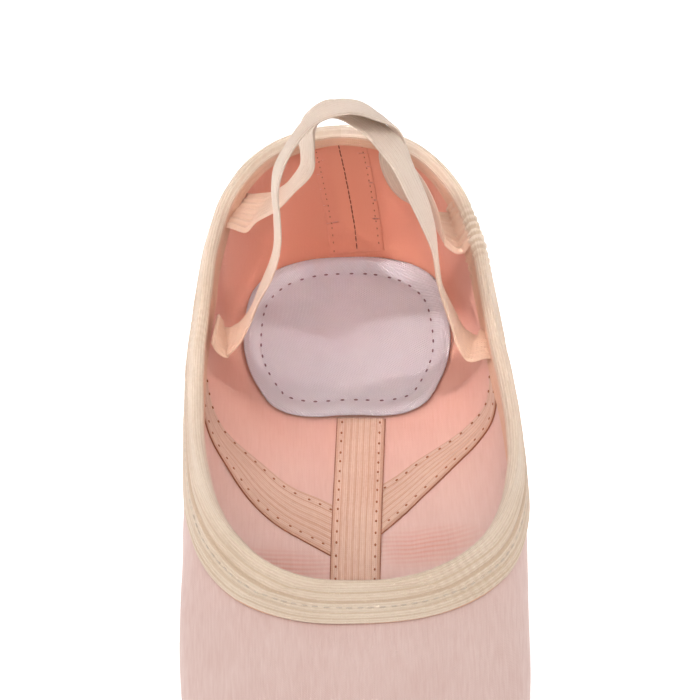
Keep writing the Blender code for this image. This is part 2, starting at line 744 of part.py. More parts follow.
def add_strap(name, shell, route, anchors, ends, finish):
    """A free elastic strap: an end sewn inside the collar, an arch over the opening, and the other end."""
    off = 2 * GAP + BINDING_THICKNESS + STRAP_THICKNESS / 2
    left, right = (
        [shell.rim_place(along, side, depth, inner_lift(depth) - off - stand_off) for depth, stand_off in end]
        for along, side, end in zip(anchors, (-1, 1), ends)
    )
    rows = [(*point, heading, 0) for point, heading in left]
    rows += route
    rows += [(*point, heading, 0) for point, heading in right[::-1]]
    rows = through(rows, STRAP_FINENESS * (STRAP_STATIONS - 1) + 1)
    middle, heading, tilt = rows[:, :3], np.radians(rows[:, 3]), np.radians(rows[:, 4])
    across = np.column_stack([np.cos(heading) * np.cos(tilt), np.sin(heading) * np.cos(tilt), np.sin(tilt)])
    tangent = np.gradient(middle, axis=0)
    tangent /= np.linalg.norm(tangent, axis=1)[:, None]
    across -= tangent * np.sum(across * tangent, axis=1)[:, None]
    across /= np.linalg.norm(across, axis=1)[:, None]
    face = np.cross(tangent, across)
    profile = [
        middle + across * STRAP_WIDTH * step + face * STRAP_THICKNESS * rise
        for rise, steps in ((-0.5, (-0.5, -0.17, 0.17, 0.5)), (0.5, (0.5, 0.17, -0.17, -0.5)))
        for step in steps
    ]
    return add_closed_loft(name, np.stack(profile, axis=1)[::STRAP_FINENESS], finish)


def clear_scene():
    for old in list(bpy.data.objects):
        bpy.data.objects.remove(old)


def main():
    clear_scene()
    canvas = material("pink_canvas", (0.74, 0.50, 0.46), 0.85)
    elastic = material("cream_elastic", (0.78, 0.62, 0.50), 0.7)
    tape = material("tan_tape", (0.68, 0.42, 0.31), 0.75)
    suede = material("pink_suede", (0.62, 0.42, 0.37), 0.95)
    lining = material("lavender_lining", (0.68, 0.50, 0.54), 0.8)
    shell = Shell()
    inner_wall = shell.tree(-WALL)
    add_upper(shell, canvas)
    add_binding(shell, elastic)
    add_patch("outsole_forefoot", FOREFOOT_PATCH, -GAP, SOLE_THICKNESS, suede)
    add_patch("outsole_heel", HEEL_PATCH, -GAP, SOLE_THICKNESS, suede)
    add_patch("insole_heel", HEEL_PAD, WALL + GAP, PAD_THICKNESS, lining)
    add_patch("insole_forefoot", FOREFOOT_PAD, WALL + GAP, PAD_THICKNESS, lining)
    add_tape("seam_tape_center", inner_wall, CENTRE_TAPE, TAPE_WIDTH, CENTRE_TAPE_STATIONS, tape)
    add_tape("seam_tape_left", inner_wall, LEFT_TAPE, TAPE_WIDTH, TAPE_STATIONS, tape, LEFT_TAPE_SLANT)
    add_tape("seam_tape_right", inner_wall, RIGHT_TAPE, TAPE_WIDTH, TAPE_STATIONS, tape, RIGHT_TAPE_SLANT)
    add_tape("seam_tape_heel", inner_wall, HEEL_TAPE, HEEL_TAPE_WIDTH, TAPE_STATIONS, tape)
    add_strap("strap_a", shell, STRAP_A, STRAP_A_ANCHORS, (FOLDED_END, STRAIGHT_END), elastic)
    add_strap("strap_b", shell, STRAP_B, STRAP_B_ANCHORS, (STRAIGHT_END, STRAIGHT_END), elastic)


main()
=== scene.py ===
# %% [markdown]
# # A split-sole ballet slipper
#
# A soft slipper is a canvas sock sewn over two small suede soles. An elastic strip is folded over the
# edge of its opening, and two more elastics cross over the instep. This script dresses the plain
# construction model, which it loads first, with pieces that have the real cloth's ribs, seams, stitches
# and puckers.

# %% Load the construction model
import math

import bmesh
import bpy
import numpy as np
from mathutils import Matrix, Vector
from mathutils.bvhtree import BVHTree


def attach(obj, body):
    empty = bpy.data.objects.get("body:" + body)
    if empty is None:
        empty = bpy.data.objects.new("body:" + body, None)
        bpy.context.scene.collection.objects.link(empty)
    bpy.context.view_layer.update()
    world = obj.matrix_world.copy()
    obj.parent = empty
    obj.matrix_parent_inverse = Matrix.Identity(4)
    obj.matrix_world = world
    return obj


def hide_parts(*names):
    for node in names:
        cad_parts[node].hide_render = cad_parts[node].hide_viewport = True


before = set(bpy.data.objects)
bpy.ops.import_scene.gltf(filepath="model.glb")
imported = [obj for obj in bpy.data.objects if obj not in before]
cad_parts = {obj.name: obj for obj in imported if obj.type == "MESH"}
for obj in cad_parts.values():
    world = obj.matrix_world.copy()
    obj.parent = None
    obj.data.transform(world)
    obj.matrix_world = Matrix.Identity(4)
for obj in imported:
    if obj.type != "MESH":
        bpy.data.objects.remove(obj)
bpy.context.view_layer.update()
MM = 0.001

# %% [markdown]
# ## Camera, light and floor
#
# The slipper lies on a pale floor under a large soft light, so that cloth shows its folds without hard
# shadows. Four faint beams brighten the inside, which the walls would leave dark. The camera looks down
# on the opening from in front of the toe, from one metre away with a long lens, which keeps the sides
# of the slipper almost parallel.

# %% Place the camera, the lights and the floor
EYE_TARGET = Vector((0.0016, 0.082, 0.0))
EYE_ELEVATION, EYE_TURN, EYE_DISTANCE, EYE_LENS, EYE_SENSOR = 48.0, -1.4, 1.0, 198.0, 36.0
EYE_NEAR, EYE_FAR = 0.05, 20.0
LIGHTS = [
    # name, turn and elevation in degrees, distance and size in metres, power, point lit, spread in degrees
    ("softbox_above", -35, 62, 1.2, 0.9, 3.5, (0, 0, 0), 180.0),
    ("softbox_right", 70, 40, 1.4, 0.8, 0.6, (0, 0, 0), 180.0),
    ("beam_into_the_arch", 0, 66, 1.3, 0.08, 0.0030, (0, 0.022, 0.01), 5.0),
    ("beam_onto_the_heel", 0, 34, 1.3, 0.06, 0.0034, (0, 0.085, 0.03), 4.0),
    ("beam_from_the_right", 80, 50, 1.3, 0.12, 0.0075, (-0.01, 0.075, 0.03), 4.0),
    ("beam_from_the_left", -80, 50, 1.3, 0.12, 0.0140, (0.01, 0.075, 0.03), 4.0),
]
FLOOR_HALF = 3.0
WHITE = (1, 1, 1, 1)
PALE = (0.95, 0.95, 0.95, 1)
PAPER = {"Base Color": PALE, "Roughness": 0.8, "Emission Color": WHITE, "Emission Strength": 0.4}
SKY = {"Color": WHITE, "Strength": 0.77}


def point_at(made, aim, turn, elevation, distance):
    """Puts a lamp or a camera this far from the point it looks at, turned round +Z from -Y, and raised."""
    turn, elevation = math.radians(turn), math.radians(elevation)
    level = math.cos(elevation)
    way = Vector((math.sin(turn) * level, -math.cos(turn) * level, math.sin(elevation)))
    made.location = Vector(aim) + way * distance
    made.rotation_mode = "QUATERNION"
    made.rotation_quaternion = way.to_track_quat("Z", "Y")
    bpy.context.scene.collection.objects.link(made)


def add_light(name, turn, elevation, distance, size, power, aim, spread):
    """A round softbox that looks at a point. A small spread makes it a soft beam."""
    lamp = bpy.data.lights.new(name, "AREA")
    lamp.shape, lamp.size, lamp.energy, lamp.spread = "DISK", size, power, math.radians(spread)
    point_at(bpy.data.objects.new(name, lamp), aim, turn, elevation, distance)


def add_camera():
    made = bpy.data.objects.new("camera", bpy.data.cameras.new("camera"))
    made.data.lens, made.data.sensor_width = EYE_LENS, EYE_SENSOR
    made.data.clip_start, made.data.clip_end = EYE_NEAR, EYE_FAR
    point_at(made, EYE_TARGET, EYE_TURN, EYE_ELEVATION, EYE_DISTANCE)
    bpy.context.scene.camera = made


def add_floor():
    bm = bmesh.new()
    bmesh.ops.create_grid(bm, x_segments=1, y_segments=1, size=FLOOR_HALF)
    made = bpy.data.objects.new("floor", bpy.data.meshes.new("floor"))
    bm.to_mesh(made.data)
    bm.free()
    paper = bpy.data.materials.new("white_paper")
    paper.use_nodes = True
    for name, value in PAPER.items():
        paper.node_tree.nodes["Principled BSDF"].inputs[name].default_value = value
    made.data.materials.append(paper)
    bpy.context.scene.collection.objects.link(made)
    return made


add_camera()
for light in LIGHTS:
    add_light(*light)
floor = add_floor()
sky = bpy.data.worlds.new("studio")
sky.use_nodes = True
for name, value in SKY.items():
    sky.node_tree.nodes["Background"].inputs[name].default_value = value
bpy.context.scene.world = sky
bpy.context.scene.view_settings.view_transform = "Standard"
print("camera at", [round(v, 3) for v in bpy.context.scene.camera.location])

# %% [markdown]
# ## Materials as expressions
#
# A finish is a small program of shader nodes. To read like one, a socket is wrapped in a class with
# Python's operators, so that `1 - mask * 0.3` adds the Math nodes by itself. Everything else, such as a
# noise or a bump, comes from one method that takes the node's type, its settings and its sockets.


# %% Wrap shader sockets so that they can be reckoned with
class Wire:
    """A socket of a finish. Arithmetic on it adds Math nodes."""

    def __init__(self, finish, socket):
        self.finish, self.socket = finish, socket

    def math(self, operation, first, second=0.0):
        return self.finish.node("Math", {"operation": operation}, {0: first, 1: second})

    def __add__(self, other):
        return self.math("ADD", self, other)

    def __sub__(self, other):
        return self.math("SUBTRACT", self, other)

    def __rsub__(self, other):
        return self.math("SUBTRACT", other, self)

    def __mul__(self, other):
        return self.math("MULTIPLY", self, other)

    def __truediv__(self, other):
        return self.math("DIVIDE", self, other)

    def __pow__(self, other):
        return self.math("POWER", self, other)

    def __abs__(self):
        return self.math("ABSOLUTE", self)

    def above(self, least):
        return self.math("MAXIMUM", self, least)

    def wave(self, period):
        """A sine of this socket, from -1 to 1."""
        return self.math("SINE", self * (2 * math.pi / period))

    __radd__, __rmul__ = __add__, __mul__


class Finish:
    """A material, with one method that adds any node and one that reads a piece's coordinates."""

    def __init__(self, name, roughness, sheen=0.0):
        self.material = bpy.data.materials.new(name)
        self.material.use_nodes = True
        self.tree = self.material.node_tree
        self.surface = self.tree.nodes["Principled BSDF"]
        cloth = {"Specular IOR Level": 0.25, "Sheen Roughness": 0.5}
        for socket, value in {"Roughness": roughness, "Sheen Weight": sheen, **cloth}.items():
            self.surface.inputs[socket].default_value = value

    def node(self, kind, settings=None, sockets=None, out=0):
        made = self.tree.nodes.new("ShaderNode" + kind)
        for name, value in (settings or {}).items():
            setattr(made, name, value)
        for name, value in (sockets or {}).items():
            if isinstance(value, Wire):
                self.tree.links.new(value.socket, made.inputs[name])
            else:
                made.inputs[name].default_value = value
        return Wire(self, made.outputs[out])

    def place(self, uv=None):
        """The x, y and z of a point in millimetres: in the shoe, or in one of the piece's own UV maps."""
        if uv:
            at = self.node("UVMap", {"uv_map": uv})
        else:
            at = self.node("TexCoord", out="Object")
        split = self.node("SeparateXYZ", sockets={0: at})
        return [Wire(self, socket) * 1000 for socket in split.socket.node.outputs]

    def noise(self, x, y, z, size, detail=2.0, roughness=0.5):
        """Noise from 0 to 1 with blobs of this size in millimetres."""
        at = self.node("CombineXYZ", sockets={0: x, 1: y, 2: z})
        values = {"Vector": at, "Scale": 1 / size, "Detail": detail, "Roughness": roughness}
        return self.node("TexNoise", sockets=values)

    def mix(self, share, first, second):
        """A colour between two colours."""
        sockets = {0: share, 6: first, 7: second}
        return self.node("Mix", {"data_type": "RGBA"}, sockets, out=2)

    def paint(self, colour, height, depth):
        """Sends a colour and a height, which is this deep in millimetres, to the surface."""
        relief = self.node("Bump", sockets={"Height": height, "Distance": depth * MM, "Strength": 1.0})
        self.tree.links.new(colour.socket, self.surface.inputs["Base Color"])
        self.tree.links.new(relief.socket, self.surface.inputs["Normal"])
        return self.material


def shade(red, green, blue):
    """A colour given as it looks on a screen, from 0 to 255, as the shader's linear colour."""
    seen = [channel / 255 for channel in (red, green, blue)]
    return (*[(c + 0.055) ** 2.4 / 1.055**2.4 if c > 0.04 else c / 12.92 for c in seen], 1.0)


print("finishes are written as expressions")

# %% [markdown]
# ## Canvas, outside and inside
#
# The canvas is a fine stretch weave whose threads run along the foot. From close by it shows hairlines
# a few millimetres long and less than half a millimetre apart. Noise that is stretched along the
# slipper gives them, and a small crossing weave goes on top. The inside is the same cloth. Towards the
# heel it turns a deeper, warmer pink, which is painted light: the warm light that bounces round inside
# the heel. The gathers below the elastic and the pulls beside the middle tape are painted darker, as
# painted shade.


# %% Mix the canvas finishes
# Sizes in mm: a hairline's breadth, a blotch, the steps of warp and weft, and the weave's depth
HAIR, BLOTCH, WARP_STEP, WEFT_STEP, WEAVE_DEPTH = 0.42, 14.0, 0.62, 0.7, 0.09
# Where the lining starts to turn to the warmer colour of painted bounce light towards the heel, and over
# how long, in mm
LINING_BOUNCE_FROM, LINING_BOUNCE_OVER = 15.0, 95.0
# The needle gathers the canvas below the elastic: how far down, how far it reaches, how much it shows
GATHERS_DOWN, GATHERS_REACH, GATHERS_HEIGHT = 11.0, 6.0, 3.0
# Fine pulls across the lining beside the middle tape: x, y, half their width and length, in mm
PULLS = [(-18.0, 5.0, 16.0, 7.0), (18.0, 11.0, 15.0, 7.0)]
# The step from one pull to the next, in mm, and the colour of the painted shade in their creases
PULL_STEP, PULL_SHADE = 1.4, (214, 134, 110)


def canvas_finish(name, light, dark, threads, heel=None):
    """Canvas between two colours; threads is how much its hairlines show, heel the colour of painted bounce
    light behind.
    """
    finish = Finish(name, 0.9, sheen=0.25)
    x, y, z = finish.place()
    hairs = finish.noise(x, y * 0.07, z * 0.2, HAIR, detail=3)
    blotches = finish.noise(x, y, z, BLOTCH)
    warp, weft = (x + z).wave(WARP_STEP), y.wave(WEFT_STEP)
    weave = hairs * 0.8 + (warp * weft) * 0.12
    share = (hairs - 0.5) * threads + (blotches - 0.5) * 0.5 + 0.5
    along, down, _ = finish.place("strip")
    pulled = (1 - abs(down - GATHERS_DOWN) / GATHERS_REACH).above(0.0)
    gathers = finish.noise(along * 0.55, down * 0.1, 0.0, 1.0) * pulled
    weave = weave + gathers * GATHERS_HEIGHT
    # The gathers also darken the canvas's colour: painted shade.
    colour = finish.mix(share - gathers * 0.25, shade(*dark), shade(*light))
    if heel:
        # Towards the heel the colour turns to painted light: the warm light that bounces round inside the
        # heel.
        behind = (y - LINING_BOUNCE_FROM) / LINING_BOUNCE_OVER
        colour = finish.mix(behind, colour, shade(*heel))
        # The pulls are painted darker and warmer in stripes: painted shade in their fine creases, on top of
        # their relief.
        lines = (y + blotches * 2.0).wave(PULL_STEP) * 0.2 + 0.3
        for middle, front, wide, long in PULLS:
            near = (1.0 - (abs(x - middle) / wide) ** 2 - (abs(y - front) / long) ** 2).above(0.0)
            colour = finish.mix(near * lines, colour, shade(*PULL_SHADE))
            weave = weave + near * lines * 2.0
    return finish.paint(colour, weave, WEAVE_DEPTH)


CANVAS = canvas_finish("pink_canvas", (224, 197, 189), (208, 173, 164), 1.3)
# The lining's third colour, towards the heel, is painted warm bounce light.
LINING = canvas_finish("salmon_lining", (234, 205, 195), (219, 181, 167), 0.9, heel=(229, 151, 124))
print("canvas finishes:", CANVAS.name, LINING.name)

# %% [markdown]
# ## Elastic, tape, suede and pad cloth
#
# Elastic and tape are woven lengthwise: fine rubber cords side by side, crossed by the yarn that holds
# them. Their pieces carry a UV map called strip, in metres along and across, so that the cords follow
# every bend. Suede has a short nap with rubbed places, and the pads are covered with a fine twill that
# runs at a slant.


# %% Mix the finishes of the sewn pieces
PUCKERS = [
    # where the needle gathers the collar, in mm from the heel's middle to the right, how far and how high;
    # the height also sets the painted highlight on their ridges and painted shade in their valleys
    (51.5, 7.5, 0.45), (155.0, 12.0, 0.07), (277.0, 8.0, 0.07),
]
PUCKER_STEP = 2.1
# Sizes in mm: the steps of the cords in elastic and in tape, and of their yarn, a fibre and a patch
ELASTIC_CORD, TAPE_CORD, YARN_STEP, FIBRE, PATCH = 0.7, 0.5, 0.55, 0.5, 4.0
# The straps are painted warmer below this level, over this height, in mm: painted bounce light from the
# pink lining and shade on their lower parts
STRAP_BOUNCE_BELOW, STRAP_BOUNCE_OVER = 78.0, 42.0
# The cuff's inner leg is painted warmer from this far across it, over this distance, in mm: painted
# bounce light from the lining and shade under the fold
CUFF_SHADE_FROM, CUFF_SHADE_OVER = 15.0, 2.5
# Sizes in mm: suede's nap and rubbed places, the twill's two steps and its patches, a thread's twist
NAP, RUB, TWILL_STEP, TWILL_CROSS, TWILL_PATCH, TWIST = 0.35, 11.0, 0.62, 0.5, 9.0, 0.35


def elastic_finish(name, light, dark, cord, depth, lines=(), pucker_shading=(), bounce_shade=None, bounce_shade_from=None):
    """Woven elastic or tape. lines are darker at (place across, width, strength), painted shade in its
    grooves and at folded edges, and puckers cross it, painted lighter on their ridges and darker in their
    valleys.

    Its last colour is painted bounce light and shade from the lining, on its shaded part: further across
    than the place given after it, or lower in the shoe without one.
    """
    finish = Finish(name, 0.75, sheen=0.15)
    along, across, _ = finish.place("strip")
    cords = across.wave(cord)
    yarn = along.wave(YARN_STEP) * 0.25
    fuzz = finish.noise(along * 0.3, across, 0.0, FIBRE)
    patches = finish.noise(along * 0.2, across * 0.4, 3.0, PATCH)
    # The cords' share makes the colour lighter on the cords and darker between them: painted highlight and
    # shade.
    share = cords * 0.22 + (fuzz - 0.5) * 0.7 + (patches - 0.5) * 0.8 + 0.55
    wander = (patches - 0.5) * 0.6
    # Each line darkens the colour: painted shade in a groove or at a folded edge.
    for at, width, strength in lines:
        share = share - (1 - abs(across + wander - at) / width).above(0.0) * strength
    # The puckers are painted lighter on their ridges and darker in their valleys: painted highlight and
    # shade.
    for at, reach, height in pucker_shading:
        near = (1.2 - abs(along - at) / reach).above(0.0)
        share = share + (along - at + 0.25 * PUCKER_STEP).wave(PUCKER_STEP) * near * 2 * height
    colour = finish.mix(share, shade(*dark), shade(*light))
    # Its shaded part gets a warmer colour: painted bounce light and shade from the lining.
    if bounce_shade and bounce_shade_from:
        colour = finish.mix((across - bounce_shade_from) / CUFF_SHADE_OVER, colour, shade(*bounce_shade))
    elif bounce_shade:
        level = finish.place()[2]
        colour = finish.mix((STRAP_BOUNCE_BELOW - level) / STRAP_BOUNCE_OVER, colour, shade(*bounce_shade))
    return finish.paint(colour, cords * 0.6 + yarn + fuzz, depth)


def suede_finish():
    finish = Finish("pink_suede", 0.95, sheen=0.4)
    x, y, z = finish.place()
    nap = finish.noise(x, y, z, NAP, detail=4, roughness=0.7)
    rubbed = finish.noise(x, y * 0.7, z, RUB, detail=3)
    share = (nap - 0.5) * 1.1 + (rubbed - 0.5) * 1.4 + 0.5
    return finish.paint(finish.mix(share, shade(184, 146, 136), shade(214, 180, 170)), nap, 0.12)


def twill_finish():
    finish = Finish("lavender_twill", 0.8, sheen=0.2)
    x, y, z = finish.place()
    twill = (x * 0.8 + y).wave(TWILL_STEP)
    cross = (x - y * 0.6).wave(TWILL_CROSS)
    patches = finish.noise(x, y, z, TWILL_PATCH)
    share = twill * 0.16 + cross * 0.08 + (patches - 0.5) * 0.6 + 0.5
    colour = finish.mix(share, shade(209, 197, 202), shade(227, 222, 226))
    return finish.paint(colour, twill + cross * 0.5, 0.05)


def thread_finish(name, colour):
    finish = Finish(name, 0.7)
    x, y, z = finish.place()
    twist = (x + y + z).wave(TWIST)
    # The thread is painted darker between its twists: painted shade.
    dark = tuple(0.8 * channel for channel in colour)
    return finish.paint(finish.mix(twist * 0.5 + 0.5, shade(*dark), shade(*colour)), twist, 0.04)


# Darker lines along the cuff and the tapes: painted shade in the cuff's grooves and under its lower edge,
# in the grooves between the tapes' ribs and at their folded edges: place across, width, strength
CUFF_SHADE_LINES = [(5.9, 0.7, 1.3), (8.2, 0.45, 0.9), (2.9, 0.35, 0.7), (1.2, 0.4, 0.5)]
TAPE_SHADE_LINES = [(at, 0.4, 0.6) for at in (-4.0, -2.4, -0.8, 0.8, 2.4, 4.0)]
TAPE_SHADE_LINES += [(at, 0.8, 1.2) for at in (-5.9, 5.9)]
# The last, warmer colour of the cuff and the straps is painted bounce light and shade from the lining.
CUFF = elastic_finish(
    "cream_cuff", (229, 210, 191), (206, 179, 154), ELASTIC_CORD, 0.07,
    CUFF_SHADE_LINES, PUCKERS, (224, 176, 146), CUFF_SHADE_FROM,
)
ELASTIC = elastic_finish(
    "cream_elastic", (217, 199, 183), (199, 174, 155), ELASTIC_CORD, 0.07, bounce_shade=(226, 184, 158)
)
TAPE = elastic_finish("tan_tape", (231, 201, 181), (210, 166, 142), TAPE_CORD, 0.06, TAPE_SHADE_LINES)
SUEDE, TWILL = suede_finish(), twill_finish()
# The rust, brown and mauve threads are painted darker: painted shade where stitches and seams sink into the
# cloth.
PALE_THREAD = thread_finish("pale_thread", (232, 212, 194))
RUST_THREAD_WITH_PAINTED_SHADE = thread_finish("rust_thread_with_painted_shade", (192, 118, 86))
BROWN_THREAD_WITH_PAINTED_SHADE = thread_finish("brown_thread_with_painted_shade", (132, 66, 48))
MAUVE_THREAD_WITH_PAINTED_SHADE = thread_finish("mauve_thread_with_painted_shade", (146, 104, 112))
print("finishes:", ", ".join(material.name for material in bpy.data.materials))

# %% [markdown]
# ## The last
#
# A shoe is built round a last, a solid foot shape. The same last that shaped the construction model is
# written here again, in millimetres: a plan outline with the level and squareness of its widest line, a
# topline, a crown and an underside. Lines run from the topline over the widest line and under to the
# middle, so that a place on the slipper is known by its line and by its distance from the topline. This
# is how a pattern cutter measures too.

# %% Tables of the last
LENGTH, BALL_WIDTH = 228.0, 83.0
HEEL_HEIGHT, INSTEP_HEIGHT = 50.5, 38.0
WALL, GAP = 1.2, 0.3
BINDING_THICKNESS, BINDING_OUTSIDE, BINDING_INSIDE, BINDING_SPLAY = 0.8, 10.5, 8.5, 2.2
TAPE_WIDTH, HEEL_TAPE_WIDTH, PAD_THICKNESS, SOLE_THICKNESS = 12.0, 15.0, 1.8, 1.8
SEAM_ALLOWANCE, STRAP_WIDTH, STRAP_THICKNESS = 7.0, 11.0, 0.9
SEAT = SOLE_THICKNESS + GAP
# Where the lines stop being parallel and fan out round the heel and the toe, as shares of the length
HEEL_CENTRE, TOE_CENTRE = 0.19, 0.82
# The throat's front, where it meets the straight sides, how square it is, and how its lines slow down
THROAT, THROAT_SIDES, THROAT_ROUNDNESS, SLOWING = 0.614, 0.38, 2.36, 1.8
# How much length a bend counts for when points are shared out along an outline, in mm per radian
OUTLINE_BEND = 34.0
# How far below the underside the bowl's curve would reach, in mm: what is below it is cut flat
FLATTENING = 0.5
# Points on every sampled curve, and lines on each side of the last
SAMPLES, LINES_PER_SIDE = 160, 180
# The signs of x on the left and on the right side
SIDES = (-1, 1)

OUTLINE = [
    # along, across (share of half the ball width), widest level, bowl, dome
    (0.000, 0.000, 24.0, 3.8, 2.4), (0.034, 0.495, 25.0, 3.8, 2.4), (0.090, 0.725, 28.0, 3.8, 2.4),
    (0.155, 0.840, 31.0, 3.8, 2.3), (0.235, 0.900, 34.0, 3.5, 2.3), (0.330, 0.950, 33.0, 2.9, 2.2),
    (0.435, 0.980, 28.0, 2.6, 2.1), (0.575, 1.000, 20.0, 3.4, 2.0), (0.690, 0.985, 17.0, 3.8, 2.0),
    (0.790, 0.905, 15.0, 3.8, 2.1), (0.885, 0.735, 13.5, 3.6, 2.1), (0.960, 0.450, 12.5, 3.4, 2.1),
    (1.000, 0.000, 12.0, 3.4, 2.1),
]
TOPLINE = [
    # along, level, share of the line's reach
    (0.00, HEEL_HEIGHT, 0.955), (0.08, 49.0, 0.955), (0.17, 46.0, 0.95), (0.26, 43.5, 0.945),
    (0.36, 41.5, 0.955), (0.48, 39.8, 0.955), (THROAT, INSTEP_HEIGHT, 0.955),
]
CROWN = [
    # along, level
    (0.53, INSTEP_HEIGHT + 3), (THROAT, INSTEP_HEIGHT), (0.70, 34.4), (0.79, 30.4), (0.88, 26.6),
    (0.95, 23.8), (1.00, 22.4),
]
LEAN_DEPTH = 30.0
LEAN = [
    # along, how far the opening leans to the right in mm, before the lean fades out at its depth
    (0.30, 0.0), (0.38, 1.0), (0.46, 1.8), (0.56, 2.3), (0.61, 1.2),
]
UNDERSIDE = [
    # along, level
    (0.00, SEAT), (0.24, SEAT), (0.33, 3.2), (0.43, 4.6), (0.53, 3.2), (0.60, SEAT), (0.90, SEAT),
    (1.00, 3.4),
]


# %% Smooth curves through short tables
def hermite(at, values, slope, wanted):
    """Rows (place, values) on the cubic curve with these values and slopes at the places in at."""
    i = np.clip(np.searchsorted(at, wanted) - 1, 0, len(at) - 2)
    step = (at[i + 1] - at[i])[:, None]
    u = (wanted - at[i])[:, None] / step
    curve = values[i] * (1 + 2 * u) * (1 - u) ** 2 + values[i + 1] * u * u * (3 - 2 * u)
    curve += step * (slope[i] * u * (1 - u) ** 2 - slope[i + 1] * u * u * (1 - u))
    return np.column_stack([wanted, curve])


def smooth_curve(rows):
    """Points on a smooth curve through rows whose first column rises: it never overshoots."""
    rows = np.array(rows, float)
    at, values = rows[:, 0], rows[:, 1:]
    rise = np.diff(values, axis=0) / np.diff(at)[:, None]
    slope = np.zeros_like(values)
    product = rise[:-1] * rise[1:]
    slope[1:-1] = np.where(product > 0, 2 * product / np.where(product > 0, rise[:-1] + rise[1:], 1.0), 0.0)
    return hermite(at, values, slope, np.linspace(at[0], at[-1], SAMPLES))


def through(points, samples):
    """Evenly spaced rows on a smooth curve through rows whose first two or three columns are a place."""
    points = np.array(points, float)
    at = run_along(points[:, : min(3, points.shape[1])])
    return hermite(at, points, np.gradient(points, at, axis=0), np.linspace(0, at[-1], samples))[:, 1:]


def run_along(points):
    """The distance along a line of points, from its start."""
    return np.concatenate([[0], np.cumsum(np.linalg.norm(np.diff(points, axis=0), axis=1))])


def bump(distance, width, power=2):
    """1 at no distance, and softly down to 0 some widths away."""
    return np.exp(-((distance / width) ** power))


def lookup(curve, at):
    """The values of a sampled curve, a column each, at places along its first column."""
    return np.stack([np.interp(at, curve[:, 0], column) for column in curve[:, 1:].T], axis=-1)


def quarter(share, power):
    """The height, from 0 to 1, of a quarter of a superellipse at a share of its reach."""
    return np.maximum(1 - np.clip(share, 0, 1) ** power, 0) ** (1 / power)


def unit(vectors):
    return vectors / np.maximum(np.linalg.norm(vectors, axis=-1, keepdims=True), 1e-9)


def y_of(along):
    """The y in mm of a place along the slipper, from 0 at the heel to 1 at the toe."""
    return LENGTH * (0.5 - along)


def along_of(y):
    return 0.5 - y / LENGTH


print("the last is", LENGTH, "mm long and", BALL_WIDTH, "mm wide")


# %% A plan outline that knows its own fan of lines
class Plan:
    """A plan outline that is the same on both sides, as rows (y, x >= 0, other values) from heel to toe."""

    def __init__(self, rows, heel_y, toe_y):
        rows = np.array(rows, float)
        mirrored = rows[[1, -2]] * np.where(np.arange(rows.shape[1]) == 1, -1, 1)
        knots = np.vstack([mirrored[:1], rows, mirrored[1:]])
        at = run_along(knots[:, :2])
        at -= at[1]
        wanted = np.linspace(0, at[-2], 3 * SAMPLES)
        self.curve = hermite(at, knots, np.gradient(knots, at, axis=0), wanted)[:, 1:]
        self.curve[[0, -1], 1] = 0.0
        self.heel_y, self.toe_y = heel_y, toe_y
        self.angle = self.angle_of(self.curve[:, 1], self.curve[:, 0])

    def centre(self, y):
        return np.clip(y, self.toe_y, self.heel_y)

    def angle_of(self, x, y):
        """A number that rises along the outline: the fan's angle at its ends, the place between them."""
        centre = self.centre(y)
        return (self.heel_y - centre) / (self.heel_y - self.toe_y) - np.arctan2(y - centre, np.abs(x))

    def at(self, angle):
        return np.stack([np.interp(angle, self.angle, column) for column in self.curve.T], axis=-1)

    def line(self, x, y):
        """The outline row of the line through each plan point, and how far out the point lies on it."""
        row = self.at(self.angle_of(x, y))
        centre = self.centre(y)
        return row, np.hypot(x, y - centre) / np.hypot(row[..., 1], row[..., 0] - centre)

    def spread(self, count):
        """Rows along the outline from heel to toe, set closer together where it bends."""
        ahead = np.diff(self.curve[:, :2], axis=0)
        bend = np.abs(np.gradient(np.unwrap(np.arctan2(ahead[:, 0], ahead[:, 1]))))
        run = np.concatenate([[0], np.cumsum(np.linalg.norm(ahead, axis=1) + OUTLINE_BEND * bend)])
        return lookup(np.column_stack([run, self.curve]), np.linspace(0, run[-1], count))


LAST = Plan(
    [(y_of(along), across * BALL_WIDTH / 2, *rest) for along, across, *rest in OUTLINE],
    y_of(HEEL_CENTRE),
    y_of(TOE_CENTRE),
)
TOPLINE_CURVE, CROWN_CURVE = smooth_curve(TOPLINE), smooth_curve(CROWN)
UNDERSIDE_CURVE = smooth_curve(UNDERSIDE)


# %% Levels of the last above and below its widest line
def topline_share(y):
    """How far out the topline lies on the line at y, as a share of its reach."""
    along = along_of(y)
    ahead = np.clip((along - THROAT_SIDES) / (THROAT - THROAT_SIDES), 0, 1)
    return lookup(TOPLINE_CURVE, along)[..., 1] * quarter(ahead, THROAT_ROUNDNESS)


def topline():
    """Rows (place along the outline, x, y, level) on the topline, from the heel to the throat's front."""
    turn = np.linspace(0, math.pi / 2, SAMPLES)
    ahead = np.sin(turn) ** (2 / THROAT_ROUNDNESS)
    front = y_of(THROAT_SIDES + ahead[1:] * (THROAT - THROAT_SIDES))
    behind = LAST.curve[LAST.curve[:, 0] >= y_of(THROAT_SIDES)]
    rows = np.vstack([behind, LAST.at(LAST.angle_of(np.ones_like(front), front))])
    share = topline_share(rows[:, 0])
    share[len(behind) :] = lookup(TOPLINE_CURVE, along_of(front))[:, 1]
    share[len(behind) :] *= np.cos(turn[1:]) ** (2 / THROAT_ROUNDNESS)
    centre = LAST.centre(rows[:, 0])
    level = lookup(TOPLINE_CURVE, along_of(rows[:, 0]))[:, 0]
    place = LAST.angle_of(rows[:, 1], rows[:, 0])
    return np.column_stack([place, rows[:, 1] * share, centre + (rows[:, 0] - centre) * share, level])


